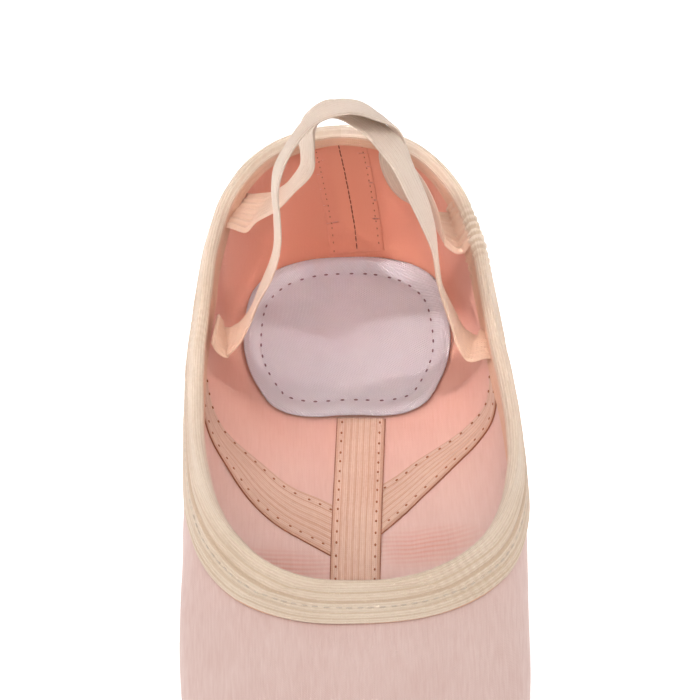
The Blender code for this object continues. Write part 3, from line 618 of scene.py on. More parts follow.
def top_level(x, y):
    """The level of the last above its widest line."""
    row, share = LAST.line(x, y)
    widest, dome = row[..., 2], row[..., 4]
    crown = lookup(CROWN_CURVE, along_of(y))[..., 0]
    rim = lookup(TOPLINE_CURVE, along_of(row[..., 0]))[..., 0]
    arch = quarter(share, dome)
    rim_arch = np.maximum(quarter(topline_share(row[..., 0]), dome), 1e-4)
    beside = widest + (rim - widest) * np.minimum(arch / rim_arch, 1)
    return np.where(y < y_of(THROAT), widest + (crown - widest) * arch, beside)


def bottom_level(x, y):
    """The level of the last below its widest line."""
    row, share = LAST.line(x, y)
    widest, bowl = row[..., 2], row[..., 3]
    lowest = lookup(UNDERSIDE_CURVE, along_of(y))[..., 0]
    return np.maximum(widest - (widest - lowest + FLATTENING) * quarter(share, bowl), lowest)


def line_starts(rows):
    """Where the lines of these outline rows start on the topline, and the plan direction they start in."""
    rim = topline()
    run = run_along(rim[:, 1:3])
    outline_run = run_along(rows[:, :2])
    place = LAST.angle_of(rows[:, 1], rows[:, 0])
    side = np.interp(-y_of(THROAT_SIDES), -rows[:, 0], outline_run)
    rim_side = np.interp(-y_of(THROAT_SIDES), -rim[:, 2], run)
    ahead = np.clip((outline_run - side) / (outline_run[-1] - side), 0, 1)
    slowed = rim_side + (run[-1] - rim_side) * (1 - (1 - ahead) ** SLOWING)
    start = np.where(outline_run < side, np.interp(place, rim[:, 0], run), slowed)
    along = np.gradient(rim[:, 1:3], run, axis=0)
    outward = np.column_stack([-along[:, 1], along[:, 0]])
    outward[[0, -1], 0] = 0
    found = lookup(np.column_stack([run, rim[:, 1:3], outward]), start)
    return found[:, :2], unit(found[:, 2:])


def last_lines(rows):
    """Lines on the last from the topline, over the widest line and under to the middle, one a row."""
    turn = np.linspace(0, math.pi / 2, SAMPLES)
    outer = rows[:, 1::-1]
    top, outward = line_starts(rows)
    reach = np.linalg.norm(outer - top, axis=1)[:, None]
    u = np.sin(turn)[None, :, None]
    above = top[:, None] + (outer - top)[:, None] * u
    above = above + (reach * outward - (outer - top))[:, None] * u * (1 - u) ** 2
    centre = np.stack([np.zeros(len(rows)), LAST.centre(rows[:, 0])], axis=-1)[:, None]
    below = centre + (outer[:, None] - centre) * np.cos(turn)[1:, None]
    upper_half = np.dstack([above, top_level(above[..., 0], above[..., 1])])
    lower_half = np.dstack([below, bottom_level(below[..., 0], below[..., 1])])
    upper_half[:, -1, 2] = rows[:, 2]
    return np.concatenate([upper_half, lower_half], axis=1)


# %% The last as lines all round it
class Skin:
    """Lines all round the last, with the direction out of it at each of their points."""

    def __init__(self, per_side):
        self.rows = LAST.spread(per_side + 1)
        right = last_lines(self.rows)
        self.points = np.concatenate([right, right[-2:0:-1] * (-1, 1, 1)])
        steps = np.linalg.norm(np.diff(self.points, axis=1), axis=2)
        self.depth = np.concatenate([np.zeros((len(steps), 1)), np.cumsum(steps, axis=1)], axis=1)
        self.points[..., 0] += np.interp(along_of(self.points[:, :1, 1]), *np.transpose(LEAN)) * self.fade()
        around = np.roll(self.points, -1, axis=0) - np.roll(self.points, 1, axis=0)
        self.outward = unit(np.cross(around, np.gradient(self.points, axis=1)))
        rim = np.vstack([self.points[:, 0], self.points[:1, 0]])
        self.rim_run = run_along(rim)

    def fade(self):
        """1 at the topline, and smoothly down to 0 where the opening's lean ends."""
        share = np.clip(self.depth / LEAN_DEPTH, 0, 1)
        return 1 - share**2 * (3 - 2 * share)

    def read(self, table, depths):
        """The values of a table at every line's own distances from the topline."""
        return np.array([lookup(np.column_stack(pair), at) for *pair, at in zip(self.depth, table, depths)])

    def grid(self, depths, lift=0.0):
        """Points at every line's own distances from the topline, lifted out of the last."""
        lift = np.broadcast_to(lift, np.shape(depths))[..., None]
        return self.read(self.points, depths) + unit(self.read(self.outward, depths)) * lift

    def tree(self, lift, every=6):
        """A search tree of the surface lifted by this much."""
        points = (self.points + self.outward * lift)[:, ::every]
        count, rings = points.shape[:2]
        corners = [
            (i * rings + j, i * rings + j + 1, (i + 1) % count * rings + j + 1, (i + 1) % count * rings + j)
            for i in range(count)
            for j in range(rings - 1)
        ]
        return BVHTree.FromPolygons(points.reshape(-1, 3).tolist(), corners)


def measure_against(points, node, every=97):
    """How far a sample of points in mm lies from a node of the construction model: mean and most."""
    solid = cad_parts[node].data
    tree = BVHTree.FromPolygons([v.co / MM for v in solid.vertices], [p.vertices for p in solid.polygons])
    gaps = [tree.find_nearest(point.tolist())[3] for point in points.reshape(-1, 3)[::every]]
    return round(float(np.mean(gaps)), 3), round(max(gaps), 3)


skin = Skin(LINES_PER_SIDE)
print("lines round the last:", len(skin.points), "- mean and largest gap to the solid:",
      measure_against(skin.points, "upper"), "mm")

# %% [markdown]
# ## Sheets and strips
#
# Every sewn piece starts as a flat grid, as cloth does, and is then laid on its place on the last.
# `lay_sheet` makes the grid, gives it a UV map while it is still flat, moves its vertices and closes it
# where it meets itself. A strip of elastic is such a grid too, whose columns go once round the strip's
# cross profile.


# %% Lay a grid on its place
# How squarely a strip keeps its thickness up to its edges, and the share that it loses there
EDGE_SQUARENESS, EDGE_LOSS = 14, 0.8


def lay_sheet(name, points, finishes, strip=None, around=False, across=False):
    """A piece from an array of points in mm; strip gives the places on the flat cloth, along and across it.

    around closes it from its last row to its first, and across from its last column to its first.
    """
    rows, columns = points.shape[:2]
    row_steps, column_steps = rows - 1 + around, columns - 1 + across
    bm = bmesh.new()
    bmesh.ops.create_grid(bm, x_segments=row_steps, y_segments=column_steps, size=1)
    cell = {
        vertex: (round((vertex.co.x + 1) / 2 * row_steps), round((vertex.co.y + 1) / 2 * column_steps))
        for vertex in bm.verts
    }
    if strip:
        along_cloth, across_cloth = np.broadcast_arrays(np.reshape(strip[0], (-1, 1)), strip[1])
        flat = bm.loops.layers.uv.new("strip")
        for face in bm.faces:
            for loop in face.loops:
                i, j = cell[loop.vert]
                loop[flat].uv = (along_cloth[i, j] * MM, across_cloth[i, j] * MM)
    for vertex, (i, j) in cell.items():
        vertex.co = points[i % rows, j % columns] * MM
    bmesh.ops.remove_doubles(bm, verts=bm.verts, dist=1e-7)
    if across and not around:
        bmesh.ops.holes_fill(bm, edges=bm.edges, sides=0)
    bmesh.ops.recalc_face_normals(bm, faces=bm.faces)
    return finish_piece(name, bm, finishes)


def finish_piece(name, bm, finishes):
    mesh = bpy.data.meshes.new(name)
    bm.to_mesh(mesh)
    bm.free()
    mesh.shade_smooth()
    for finish in finishes:
        mesh.materials.append(finish)
    made = bpy.data.objects.new(name, mesh)
    bpy.context.scene.collection.objects.link(made)
    return made


def ribbon_profile(width, thickness, ribs, relief, columns=33):
    """A strip's closed cross profile, as columns (across, rise): ribbed, and round at both edges."""
    x = np.linspace(-0.5, 0.5, columns)
    rise = thickness / 2 + relief * np.cos(2 * math.pi * ribs * x)
    rise -= relief + (thickness / 2 - relief) * np.abs(2 * x) ** EDGE_SQUARENESS * EDGE_LOSS
    top = np.column_stack([x * width, rise])
    return np.concatenate([top, top[::-1] * (1, -1)])


def carry(profile, middle, across, face):
    """A profile carried along a line: an array of points, a row for each place."""
    return middle[:, None] + across[:, None] * profile[..., :1] + face[:, None] * profile[..., 1:]


def strip_sizes(run, profile):
    """The places along and across the flat cloth of a strip with this run and cross profile."""
    return run, np.concatenate([profile[:, 0], profile[:1, 0]])


def report(piece):
    print(piece.name, "-", len(piece.data.polygons), "faces")
    return piece


print("sheets and strips start as flat grids")

# %% [markdown]
# ## Stitches and seam lines
#
# A seam is a row of small rounded threads along a line, or a thin cord that lies on the line. Both need
# only the line and the direction out of the cloth. A needle never lands quite evenly, so each stitch is
# shifted a little.

# %% Sew stitches and lay cords along lines
# How far the needle strays, as a share of a step, and the roundness of a stitch and of a cord
NEEDLE_STRAYS, STITCH_SEGMENTS, STITCH_RINGS, CORD_SIDES = 0.1, 6, 5, 6


def sew(name, lines, finish, size, step):
    """Stitches of this length, width and height in mm, at this step along lines of (points, ways out)."""
    drawn = np.random.default_rng(1)
    bm = bmesh.new()
    for points, out in lines:
        run = run_along(points)
        table = np.column_stack([run, points, np.gradient(points, axis=0), out])
        at = np.arange(step / 2, run[-1], step)
        for row in lookup(table, at + drawn.uniform(-NEEDLE_STRAYS, NEEDLE_STRAYS, len(at)) * step):
            ahead, up = unit(row[3:6]), unit(row[6:9])
            turn = Matrix((ahead, np.cross(up, ahead), up)).transposed().to_4x4()
            scale = Matrix.Diagonal((*(MM * length / 2 for length in size), 1))
            place = Matrix.Translation(row[:3] * MM) @ turn @ scale
            bmesh.ops.create_uvsphere(
                bm, u_segments=STITCH_SEGMENTS, v_segments=STITCH_RINGS, radius=1, matrix=place
            )
    return finish_piece(name, bm, (finish,))


def add_cord(name, points, out, radius, finish):
    """A thin round cord along a line of points."""
    turn = np.linspace(0, 2 * math.pi, CORD_SIDES + 1)[:-1]
    profile = radius * np.column_stack([np.cos(turn), np.sin(turn)])
    across = unit(np.cross(out, np.gradient(points, axis=0)))
    return lay_sheet(name, carry(profile, points, across, out), (finish,), across=True)


def settle(ways, passes=12):
    """Directions evened out over their neighbours, along every axis of a table."""
    for _ in range(passes):
        for axis in range(ways.ndim - 1):
            edged = np.concatenate([ways.take([0], axis), ways, ways.take([-1], axis)], axis)
            ends = edged.shape[axis]
            ways = edged.take(range(ends - 2), axis) + 2 * ways + edged.take(range(2, ends), axis)
    return unit(ways)


print("seams are rows of threads along lines")

# %% [markdown]
# ## The canvas sock
#
# One skin goes all round the last. It ends at the openings above the two soles, and over the arch its
# left and right lines meet and are joined. Worn canvas isn't smooth: it sags at the arch and creases
# where the heel folds. Each of these is a soft trough or ridge between two places on the slipper.

# %% Outlines of the soles and pads
FOREFOOT_SOLE = [
    # along, half of the width
    (0.545, 0.0), (0.560, 16.0), (0.605, 25.5), (0.690, 29.5), (0.790, 27.0), (0.875, 21.0), (0.930, 13.0),
    (0.955, 0.0),
]
HEEL_SOLE = [
    (0.030, 0.0), (0.050, 12.5), (0.105, 21.5), (0.175, 24.5), (0.245, 21.5), (0.290, 13.0), (0.305, 0.0),
]
HEEL_PAD = [
    (0.0235, 0.0), (0.029, 10.5), (0.047, 19.2), (0.081, 25.7), (0.130, 27.9), (0.175, 27.4),
    (0.215, 24.0), (0.243, 19.6), (0.256, 12.5), (0.256, 0.0),
]
FOREFOOT_PAD = [
    (0.575, 0.0), (0.585, 16.0), (0.620, 27.0), (0.700, 32.0), (0.790, 29.5), (0.880, 23.0), (0.945, 13.0),
    (0.965, 0.0),
]
# The lines of a patch fan out from centres this share of its length inside its ends
FAN_INSET = 0.4


def patch_plan(rows):
    """The plan outline of a sole or a pad."""
    ends = y_of(rows[0][0]), y_of(rows[-1][0])
    inset = FAN_INSET * (ends[0] - ends[1])
    return Plan([(y_of(along), x) for along, x in rows], ends[0] - inset, ends[1] + inset)


def inside_edge(plan, x, y):
    """How far inside a patch's outline plan points lie, and less than nought outside it."""
    edge = plan.curve[::4]  # every fourth point is close enough
    gap = np.hypot(np.abs(x)[..., None] - edge[:, 1], y[..., None] - edge[:, 0]).min(axis=-1)
    return np.where(plan.line(x, y)[1] < 1, gap, -gap)


FOREFOOT_PLAN, HEEL_PLAN = patch_plan(FOREFOOT_SOLE), patch_plan(HEEL_SOLE)
print("soles from", round(HEEL_PLAN.heel_y), "to", round(FOREFOOT_PLAN.toe_y), "mm")

# %% Troughs and ridges of the canvas
# Rings of the sock's grid, from the topline down
SOCK_RINGS = 108
CREASES = [
    # start (x, y, z), end (x, y, z), width, height, in mm; each is also made on the other side
    ((30, 74, 30), (20, 96, 14), 5.0, -0.7),
    ((33, 60, 22), (26, 84, 8), 5.0, 0.6),
    ((34, 30, 20), (16, 40, 6), 6.0, -0.8),
    ((34, 8, 20), (14, 20, 6), 7.0, 0.7),
    ((36, -6, 16), (18, 2, 5), 6.0, -0.7),
]


def crease_lift(points):
    """How far the soft troughs and ridges lift each point."""
    lift = np.zeros(points.shape[:-1])
    for start, end, width, height in CREASES:
        for side in SIDES:
            a, b = np.array(start) * (side, 1, 1), np.array(end) * (side, 1, 1)
            t = np.clip((points - a) @ (b - a) / ((b - a) @ (b - a)), 0, 1)
            gap = np.linalg.norm(points - a - t[..., None] * (b - a), axis=-1)
            lift += height * bump(gap, width)
    return lift


def sock_depths():
    """Every line's distances from the topline, down to the opening that it meets or to the middle."""
    x, y = skin.points[..., 0], skin.points[..., 1]
    inside = np.maximum(inside_edge(FOREFOOT_PLAN, x, y), inside_edge(patch_plan(HEEL_PAD), x, y))
    meets = inside > SEAM_ALLOWANCE
    meets[:, :SAMPLES] = False
    last = np.where(meets.any(axis=1), meets.argmax(axis=1), meets.shape[1] - 1)
    ends = skin.depth[np.arange(len(last)), last]
    return ends[:, None] * np.linspace(0, 1, SOCK_RINGS)


def add_sock():
    depths = sock_depths()
    points = skin.grid(depths, crease_lift(skin.grid(depths)))
    cloth = skin.rim_run, np.vstack([depths, depths[:1]])
    sock = lay_sheet("canvas_sock", points, (CANVAS, LINING), cloth, around=True)
    wall = sock.modifiers.new("Wall", "SOLIDIFY")
    wall.thickness = WALL * MM
    wall.offset = -1.0
    wall.use_even_offset = True
    wall.material_offset = 1
    return sock


sock = report(add_sock())

# %% [markdown]
# ## The folded elastic
#
# The binding is one elastic folded over the edge of the canvas. Its outer leg lies flat on the canvas,
# its fold is round, and its inner leg stands off the wall a little, as the foot has pushed it. Grooves
# and a rib run along it where the elastic's cords are pulled together by the needle. It is made as a
# loft: one profile of the folded elastic is carried round the topline, and the gathers lift it on their
# way.

# %% Loft the binding round the opening
# Lines of the binding's grid on each side of the last
RIM_LINES = 280
INNER_LEG = [
    # along, how far down the inner leg reaches in mm: less round the heel and round the throat's front
    (0.00, 2.6), (0.07, 3.4), (0.20, BINDING_INSIDE), (0.34, 8.0), (0.45, 4.5), (0.61, 4.0),
]
BINDING_GROOVES = [
    # distance down from the topline, width, depth, in mm
    (1.4, 0.5, 0.20), (2.6, 0.35, -0.15), (4.6, 0.6, 0.50), (6.6, 0.9, 0.25), (8.8, 0.5, 0.12),
]
# How the cut edges of the outer and the inner leg get thinner: by how much and over what distance, in mm
OUTER_EDGE, INNER_EDGE = (0.5, 0.35), (0.4, 0.3)
# Ribs along the inner leg: height and step, in mm
INNER_RIB, INNER_RIB_STEP = 0.07, 1.75
# Points of the profile: down the outer leg, over the fold, down the inner leg and back up it, round the
# canvas's edge, and down the canvas
OUTER_POINTS, FOLD_POINTS, INNER_POINTS, BACK_POINTS, EDGE_POINTS, CANVAS_POINTS = 44, 17, 26, 6, 7, 8
# The collar never runs quite evenly. It swells by a height, in waves of two lengths over 2 pi, and it
# wanders up and down by (distance, length over 2 pi, start) of two waves, in mm
RIM_SWELL, RIM_WANDER = (0.06, 2.3, 11), [(0.18, 9, 0), (0.10, 3.7, 1)]
# How much of a gather's height shows on top of the fold
GATHER_ON_TOP = 0.8


def inner_lift(down):
    """How far the binding's inner leg stands off the last's surface at a distance from the topline."""
    return -WALL - BINDING_SPLAY * down / BINDING_INSIDE


def fold_profile():
    """Rows (distance down from the topline, lift out of the last) once round the folded elastic."""
    outer = GAP + BINDING_THICKNESS
    down = np.linspace(BINDING_OUTSIDE, 0, OUTER_POINTS)
    relief = -sum(depth * bump(down - at, width) for at, width, depth in BINDING_GROOVES)
    relief = relief - OUTER_EDGE[0] * bump(BINDING_OUTSIDE - down, OUTER_EDGE[1])
    rows = list(zip(down, outer + relief))
    turn = np.linspace(0, math.pi, FOLD_POINTS)[1:-1]
    radius = outer + WALL / 2
    rows += [(-radius * math.sin(t), -WALL / 2 + radius * math.cos(t)) for t in turn]
    inside = np.linspace(0, BINDING_INSIDE, INNER_POINTS)
    ribs = INNER_RIB * np.cos(2 * math.pi * inside / INNER_RIB_STEP)
    ribs = ribs + INNER_EDGE[0] * bump(BINDING_INSIDE - inside, INNER_EDGE[1])
    rows += list(zip(inside, inner_lift(inside) - outer + ribs))
    back = np.linspace(BINDING_INSIDE, 0, BACK_POINTS)
    rows += list(zip(back, inner_lift(back) - GAP))
    turn = np.linspace(0, math.pi, EDGE_POINTS)[1:-1]
    radius = GAP + WALL / 2
    rows += [(-radius * math.sin(t), -WALL / 2 - radius * math.cos(t)) for t in turn]
    rows += list(zip(np.linspace(0, BINDING_OUTSIDE, CANVAS_POINTS), np.full(CANVAS_POINTS, GAP)))
    return np.array(rows)


def pucker_lift(run):
    """How far the gathers made by the needle lift the elastic at each place along the rim."""
    height, short, long = RIM_SWELL
    lift = height * np.sin(run / short) * np.sin(run / long)
    for at, reach, height in PUCKERS:
        fold = np.cos((run - at) * 2 * math.pi / PUCKER_STEP)
        lift = lift + height * fold * bump(run - at, reach, 4)
    return lift


def add_binding():
    profile = fold_profile()
    rim = Skin(RIM_LINES)
    inside = profile[:, 1] < -WALL - GAP / 2
    leg_share = np.interp(along_of(rim.points[:, 0, 1]), *np.transpose(INNER_LEG)) / BINDING_INSIDE
    down = profile[:, 0] * np.where(inside, leg_share[:, None], 1)
    splay = BINDING_SPLAY / BINDING_INSIDE * np.maximum(profile[:, 0] - down, 0)
    run = rim.rim_run[:-1]
    wander = sum(distance * np.sin(run / length + start) for distance, length, start in RIM_WANDER)
    leg = np.clip(profile[:, 0] / 2, 0, 1) * (profile[:, 1] > GAP)
    down = down + leg * wander[:, None]
    faces = (profile[:, 1] > GAP) * 1.0 - (profile[:, 1] < inner_lift(profile[:, 0]) - 2 * GAP)
    folds = pucker_lift(run)[:, None]
    points = rim.grid(np.maximum(down, 0), profile[:, 1] + splay + folds * faces)
    points[..., 2] += np.maximum(-down, 0) + GATHER_ON_TOP * folds * (down < 0)
    across = run_along(np.vstack([profile, profile[:1]]))
    return lay_sheet("topline_elastic", points, (CUFF,), (rim.rim_run, across), around=True, across=True)


def round_the_collar(down, lift):
    """A closed line all round the outer leg at a distance down from the topline, and the ways out of it."""
    depths = np.full((len(skin.points), 1), down)
    lines = [skin.grid(depths, at)[:, 0] for at in (lift, lift + 1)]
    line, above = (np.vstack([points, points[:1]]) for points in lines)
    return line, unit(above - line)


binding = report(add_binding())

# %% Sew the binding down
# The seam's distance down and depth, its stitches' length, width and height, and their step, in mm
COLLAR_SEAM_DOWN, COLLAR_SEAM_SINKS, COLLAR_STITCH, COLLAR_STEP = 6.6, 0.2, (1.7, 0.4, 0.3), 2.6
collar_row = round_the_collar(COLLAR_SEAM_DOWN, GAP + BINDING_THICKNESS - COLLAR_SEAM_SINKS)
collar_stitches = report(
    sew("stitches_round_the_collar", [collar_row], PALE_THREAD, COLLAR_STITCH, COLLAR_STEP)
)

# %% [markdown]
# ## The straps
#
# Two elastics stand in tall loops over the opening and cross at the top. Each is a flat ribbed ribbon
# that is carried along its own middle line. A row of the line gives a place, the way the ribbon's width
# points in plan, and how far it is tilted. Each end is sewn to the binding's inner leg: one is folded
# up against it, one is gathered and laid up it, and the others run straight to it.

# %% Routes of the straps
# Where the left and the right end meet the topline, as shares of the length from the heel
STRAP_A_ANCHORS, STRAP_B_ANCHORS = (0.264, 0.133), (0.098, 0.286)
STRAP_A = [
    # x, y, z, heading, tilt
    (-29.6, 53.4, 35.7, 90, -8), (-27.2, 53.4, 37.6, 94, -20), (-24.5, 54.6, 41.4, 89, -26),
    (-21.1, 57.0, 49.5, 83, -15), (-17.9, 58.3, 57.9, 86, -6), (-16.6, 58.7, 69.0, 96, 0),
    (-16.8, 58.6, 80.3, 98, 0), (-16.6, 58.9, 87.0, 92, -6), (-13.8, 60.8, 94.6, 88, -22),
    (-7.7, 64.6, 101.2, 100, -33), (-1.1, 67.9, 101.8, 117, -24), (5.3, 71.0, 97.6, 131, -2),
    (10.3, 75.6, 89.2, 128, 0), (13.5, 77.5, 80.6, 115, 2), (13.2, 78.2, 72.5, 146, -2),
    (15.6, 79.2, 64.0, 157, -12), (18.6, 81.0, 55.5, 148, -8), (21.8, 82.6, 48.0, 122, 0),
    (24.4, 82.7, 44.4, 109, 0),
]
STRAP_B = [
    (-21.9, 88.5, 45.4, 63, 5), (-18.9, 86.8, 49.5, 57, 8), (-14.6, 83.4, 57.0, 67, 8),
    (-11.0, 81.0, 66.0, 78, 7), (-9.2, 79.6, 74.5, 108, 11), (-8.5, 78.3, 82.7, 102, 12),
    (-5.2, 76.9, 90.8, 70, -3), (0.4, 73.6, 94.3, 51, -26), (6.0, 69.6, 93.8, 61, -26),
    (11.9, 65.4, 89.3, 71, -12), (15.8, 62.2, 81.5, 75, -12), (18.9, 59.8, 74.2, 79, -10),
    (21.3, 58.0, 66.2, 86, -10), (22.4, 56.6, 57.0, 89, -8), (24.0, 55.4, 48.4, 95, -9),
    (26.7, 53.2, 41.6, 86, -20), (28.6, 50.6, 38.6, 88, -10), (30.9, 49.0, 37.3, 90, -8),
]
# The ways an end is sewn on, as rows (distance down from the topline, stand-off from the binding, tilt)
FOLDED_END = [(1.5, 1.2, 0), (5.0, 2.6, 0)]
STRAIGHT_END = [(4.4, -1.3, -8), (3.6, 0.5, -8)]
GATHERED_END = [(0.2, -1.3, 0), (1.6, 0.0, 0), (3.4, 0.6, 0)]
A_ENDS, B_ENDS = (FOLDED_END, GATHERED_END), (STRAIGHT_END, STRAIGHT_END)
# How much wider a strap is at its left and right end, as a share, and over what length in mm
A_FLARES, B_FLARES, FLARE_REACH = (0.0, 0.40), (0.40, 0.0), 12.0
# How high the gathers there stand for that share, in mm, and how many lie side by side
A_GATHERS, B_GATHERS, GATHERS_ACROSS = 1.3, 0.7, 7
# Ribs across a strap, how high they stand in mm, and the rows of its grid
STRAP_RIBS, STRAP_RELIEF, STRAP_STATIONS = 7, 0.06, 240


def rim_place(along, side, down, lift):
    """A point at this place along the topline, this far down the wall, and the heading of the topline."""
    half = skin.points[: len(skin.points) // 2 + 1, 0, 1]
    i = int(np.argmax(half < y_of(along))) - 1
    blend = (half[i] - y_of(along)) / (half[i] - half[i + 1])
    ends = skin.grid([[down]] * len(skin.points), lift)[i : i + 2, 0]
    heading = math.degrees(math.atan2(ends[0][1] - ends[1][1], side * (ends[0][0] - ends[1][0])))
    return (ends[0] * (1 - blend) + ends[1] * blend) * (side, 1, 1), heading


def strap_line(route, anchors, ends, stations):
    """A strap's middle, the way across it and the way its face points, at even steps."""
    off = 2 * GAP + BINDING_THICKNESS + STRAP_THICKNESS / 2
    left, right = (
        [
            (*rim_place(along, side, down, inner_lift(down) - off - stand_off), tilt)
            for down, stand_off, tilt in end
        ]
        for along, side, end in zip(anchors, SIDES, ends)
    )
    rows = [(*point, heading, tilt) for point, heading, tilt in left] + route
    rows += [(*point, heading, tilt) for point, heading, tilt in right[::-1]]
    rows = through(rows, stations)
    middle, heading, tilt = rows[:, :3], np.radians(rows[:, 3]), np.radians(rows[:, 4])
    across = np.column_stack([np.cos(heading) * np.cos(tilt), np.sin(heading) * np.cos(tilt), np.sin(tilt)])
    tangent = unit(np.gradient(middle, axis=0))
    across = unit(across - tangent * np.sum(across * tangent, axis=1)[:, None])
    return middle, across, np.cross(tangent, across)


def add_strap(name, route, anchors, ends, flares, gathered):
    middle, across, face = strap_line(route, anchors, ends, STRAP_STATIONS)
    profile = ribbon_profile(STRAP_WIDTH, STRAP_THICKNESS, STRAP_RIBS, STRAP_RELIEF)
    run = run_along(middle)
    spread = sum(flare * bump(gap, FLARE_REACH) for flare, gap in zip(flares, (run, run[-1] - run)))
    folds = np.cos(2 * math.pi * GATHERS_ACROSS * profile[:, 0] / STRAP_WIDTH)
    gathers = gathered * spread[:, None] * folds
    points = carry(profile, middle, across * (1 + spread[:, None]), face)
    points += face[:, None] * gathers[..., None]
    return lay_sheet(name, points, (ELASTIC,), strip_sizes(run, profile), across=True)


strap_a = report(
    add_strap("strap_left_to_back_right", STRAP_A, STRAP_A_ANCHORS, A_ENDS, A_FLARES, A_GATHERS)
)
strap_b = report(
    add_strap("strap_back_left_to_right", STRAP_B, STRAP_B_ANCHORS, B_ENDS, B_FLARES, B_GATHERS)
)

# %% [markdown]
# ## Tapes inside
#
# Flat tapes cover the seams inside: one along the middle of the arch, one down each side and one down
# the back of the heel. Each is laid on the inner wall point by point, so that it follows every hollow.

# %% Lay the tapes on the inner wall
CENTRE_TAPE = [
    # along, x, level, share of its width
    (0.258, 3.8, 3.5, 1), (0.350, 2.6, 4.8, 1), (0.480, 1.0, 5.5, 1), (0.571, 0.2, 3.5, 1),
]
LEFT_TAPE = [
    (0.254, -36.6, 21.0, 0.60), (0.281, -35.4, 17.0, 0.60), (0.301, -33.8, 13.8, 0.64),
    (0.333, -28.4, 9.0, 0.80), (0.379, -19.2, 6.2, 1.00), (0.412, -8.8, 5.5, 1.12),
    (0.428, -3.8, 5.5, 1.12),
]
RIGHT_TAPE = [
    (0.272, 36.6, 25.0, 0.62), (0.298, 36.4, 19.5, 0.64), (0.312, 32.0, 11.3, 0.70),
    (0.325, 27.0, 7.9, 0.74), (0.344, 21.2, 6.1, 0.78), (0.384, 10.8, 5.3, 0.88),
    (0.404, 6.2, 5.3, 0.95),
]
HEEL_TAPE = [
    (0.0193, -0.6, 46.0, 1), (0.0132, 2.2, 25.0, 1), (0.0193, 3.5, 13.5, 1), (0.0245, 4.1, 9.0, 1),
]
TAPE_THICKNESS, HEEL_TAPE_THICKNESS, TAPE_OFF_WALL = 0.6, 0.3, 0.12
# Ribs along the middle and the side tapes, how high they stand in mm, and the points across a tape's face
CENTRE_RIBS, SIDE_RIBS, TAPE_RELIEF, TAPE_COLUMNS = 6, 5, 0.08, 41
# How far the front ends of the side tapes are slanted along them, as a share of the place across
LEFT_SLANT, RIGHT_SLANT = -0.75, 0.95
# The middle tape lies over the ends of the side tapes: where, over what length, and how high
CROSSING_ALONG, CROSSING_REACH, CROSSING_HEIGHT = 0.405, 0.055, 0.75


def on_wall(points):
    """The nearest places on the inner wall, with its creases, and the ways from there into the shoe."""
    shape = points.shape
    found = [inner_wall.find_nearest(point.tolist())[:2] for point in points.reshape(-1, 3)]
    places, normals = (np.array(part, float).reshape(shape) for part in zip(*found))
    nought = np.zeros(shape[:-1])
    middle = np.stack([nought, LAST.centre(places[..., 1]), nought + INSTEP_HEIGHT], axis=-1)
    ways = normals * np.sign(np.sum(normals * (middle - places), axis=-1))[..., None]
    return places - ways * crease_lift(places)[..., None], ways


def tape_line(route, offsets, slant=0.0, over=False, stations=90):
    """Places on the inner wall at distances across a tape's route, the ways into the shoe, and the run."""
    middle = through([(x, y_of(along), level, share) for along, x, level, share in route], stations)
    middle, share = middle[:, :3], middle[:, 3:]
    middle, ways = on_wall(middle)
    tangent = np.gradient(middle, axis=0)
    across = unit(np.cross(settle(ways), tangent)) * share
    across += unit(tangent) * slant * share * (np.linspace(0, 1, stations) ** 3)[:, None]
    places, ways = on_wall(middle[:, None] + across[:, None] * np.reshape(offsets, (1, -1, 1)))
    ways = settle(ways)
    if over:
        ahead = along_of(places[..., 1:2]) - CROSSING_ALONG
        places = places + ways * CROSSING_HEIGHT * bump(ahead, CROSSING_REACH, 4)
    return places, ways, run_along(middle)


def add_tape(name, route, width, ribs, finish, slant=0.0, over=False, thickness=TAPE_THICKNESS):
    profile = ribbon_profile(width, thickness, ribs, TAPE_RELIEF if ribs else 0.0, TAPE_COLUMNS)
    places, ways, run = tape_line(route, profile[:TAPE_COLUMNS, 0], slant, over)
    places, ways = (np.concatenate([part, part[:, ::-1]], axis=1) for part in (places, ways))
    points = places + ways * (TAPE_OFF_WALL + thickness / 2 + profile[:, 1])[None, :, None]
    return lay_sheet(name, points, (finish,), strip_sizes(run, profile), across=True)


def on_tape(route, offset, slant=0.0, over=False, lift=TAPE_OFF_WALL + TAPE_THICKNESS):
    """A line that runs along the face of a tape at a distance from its middle, and the ways out of it."""
    places, ways, _ = tape_line(route, [offset], slant, over)
    return places[:, 0] + ways[:, 0] * lift, ways[:, 0]


inner_wall = skin.tree(-WALL)
tape_centre = report(add_tape("tape_along_the_arch", CENTRE_TAPE, TAPE_WIDTH, CENTRE_RIBS, TAPE, over=True))
tape_left = report(add_tape("tape_left_side", LEFT_TAPE, TAPE_WIDTH, SIDE_RIBS, TAPE, LEFT_SLANT))
tape_right = report(add_tape("tape_right_side", RIGHT_TAPE, TAPE_WIDTH, SIDE_RIBS, TAPE, RIGHT_SLANT))
tape_heel = report(
    add_tape("tape_down_the_heel", HEEL_TAPE, HEEL_TAPE_WIDTH, 0, LINING, thickness=HEEL_TAPE_THICKNESS)
)

# %% Sew the tapes down
EDGE = TAPE_WIDTH / 2
# How far stitches lie inside a tape's edge, and off the middle of the heel's tape, in mm
CENTRE_INSET, SIDE_INSET, HEEL_STITCHES_OUT = 1.2, 1.5, 6.2
# Stitches' length, width and height, and their step, in mm
HOLE, HOLE_STEP, FINE_HOLE, FINE_STEP = (0.85, 0.55, 0.45), 3.5, (0.7, 0.35, 0.3), 2.2
SEAM_STITCH, SEAM_STEP = (1.9, 0.35, 0.35), 1.8
# How far a seam line's cord lies off the wall, and its radius, in mm
CORD_LIFT, CORD_RADIUS = 0.2, 0.22

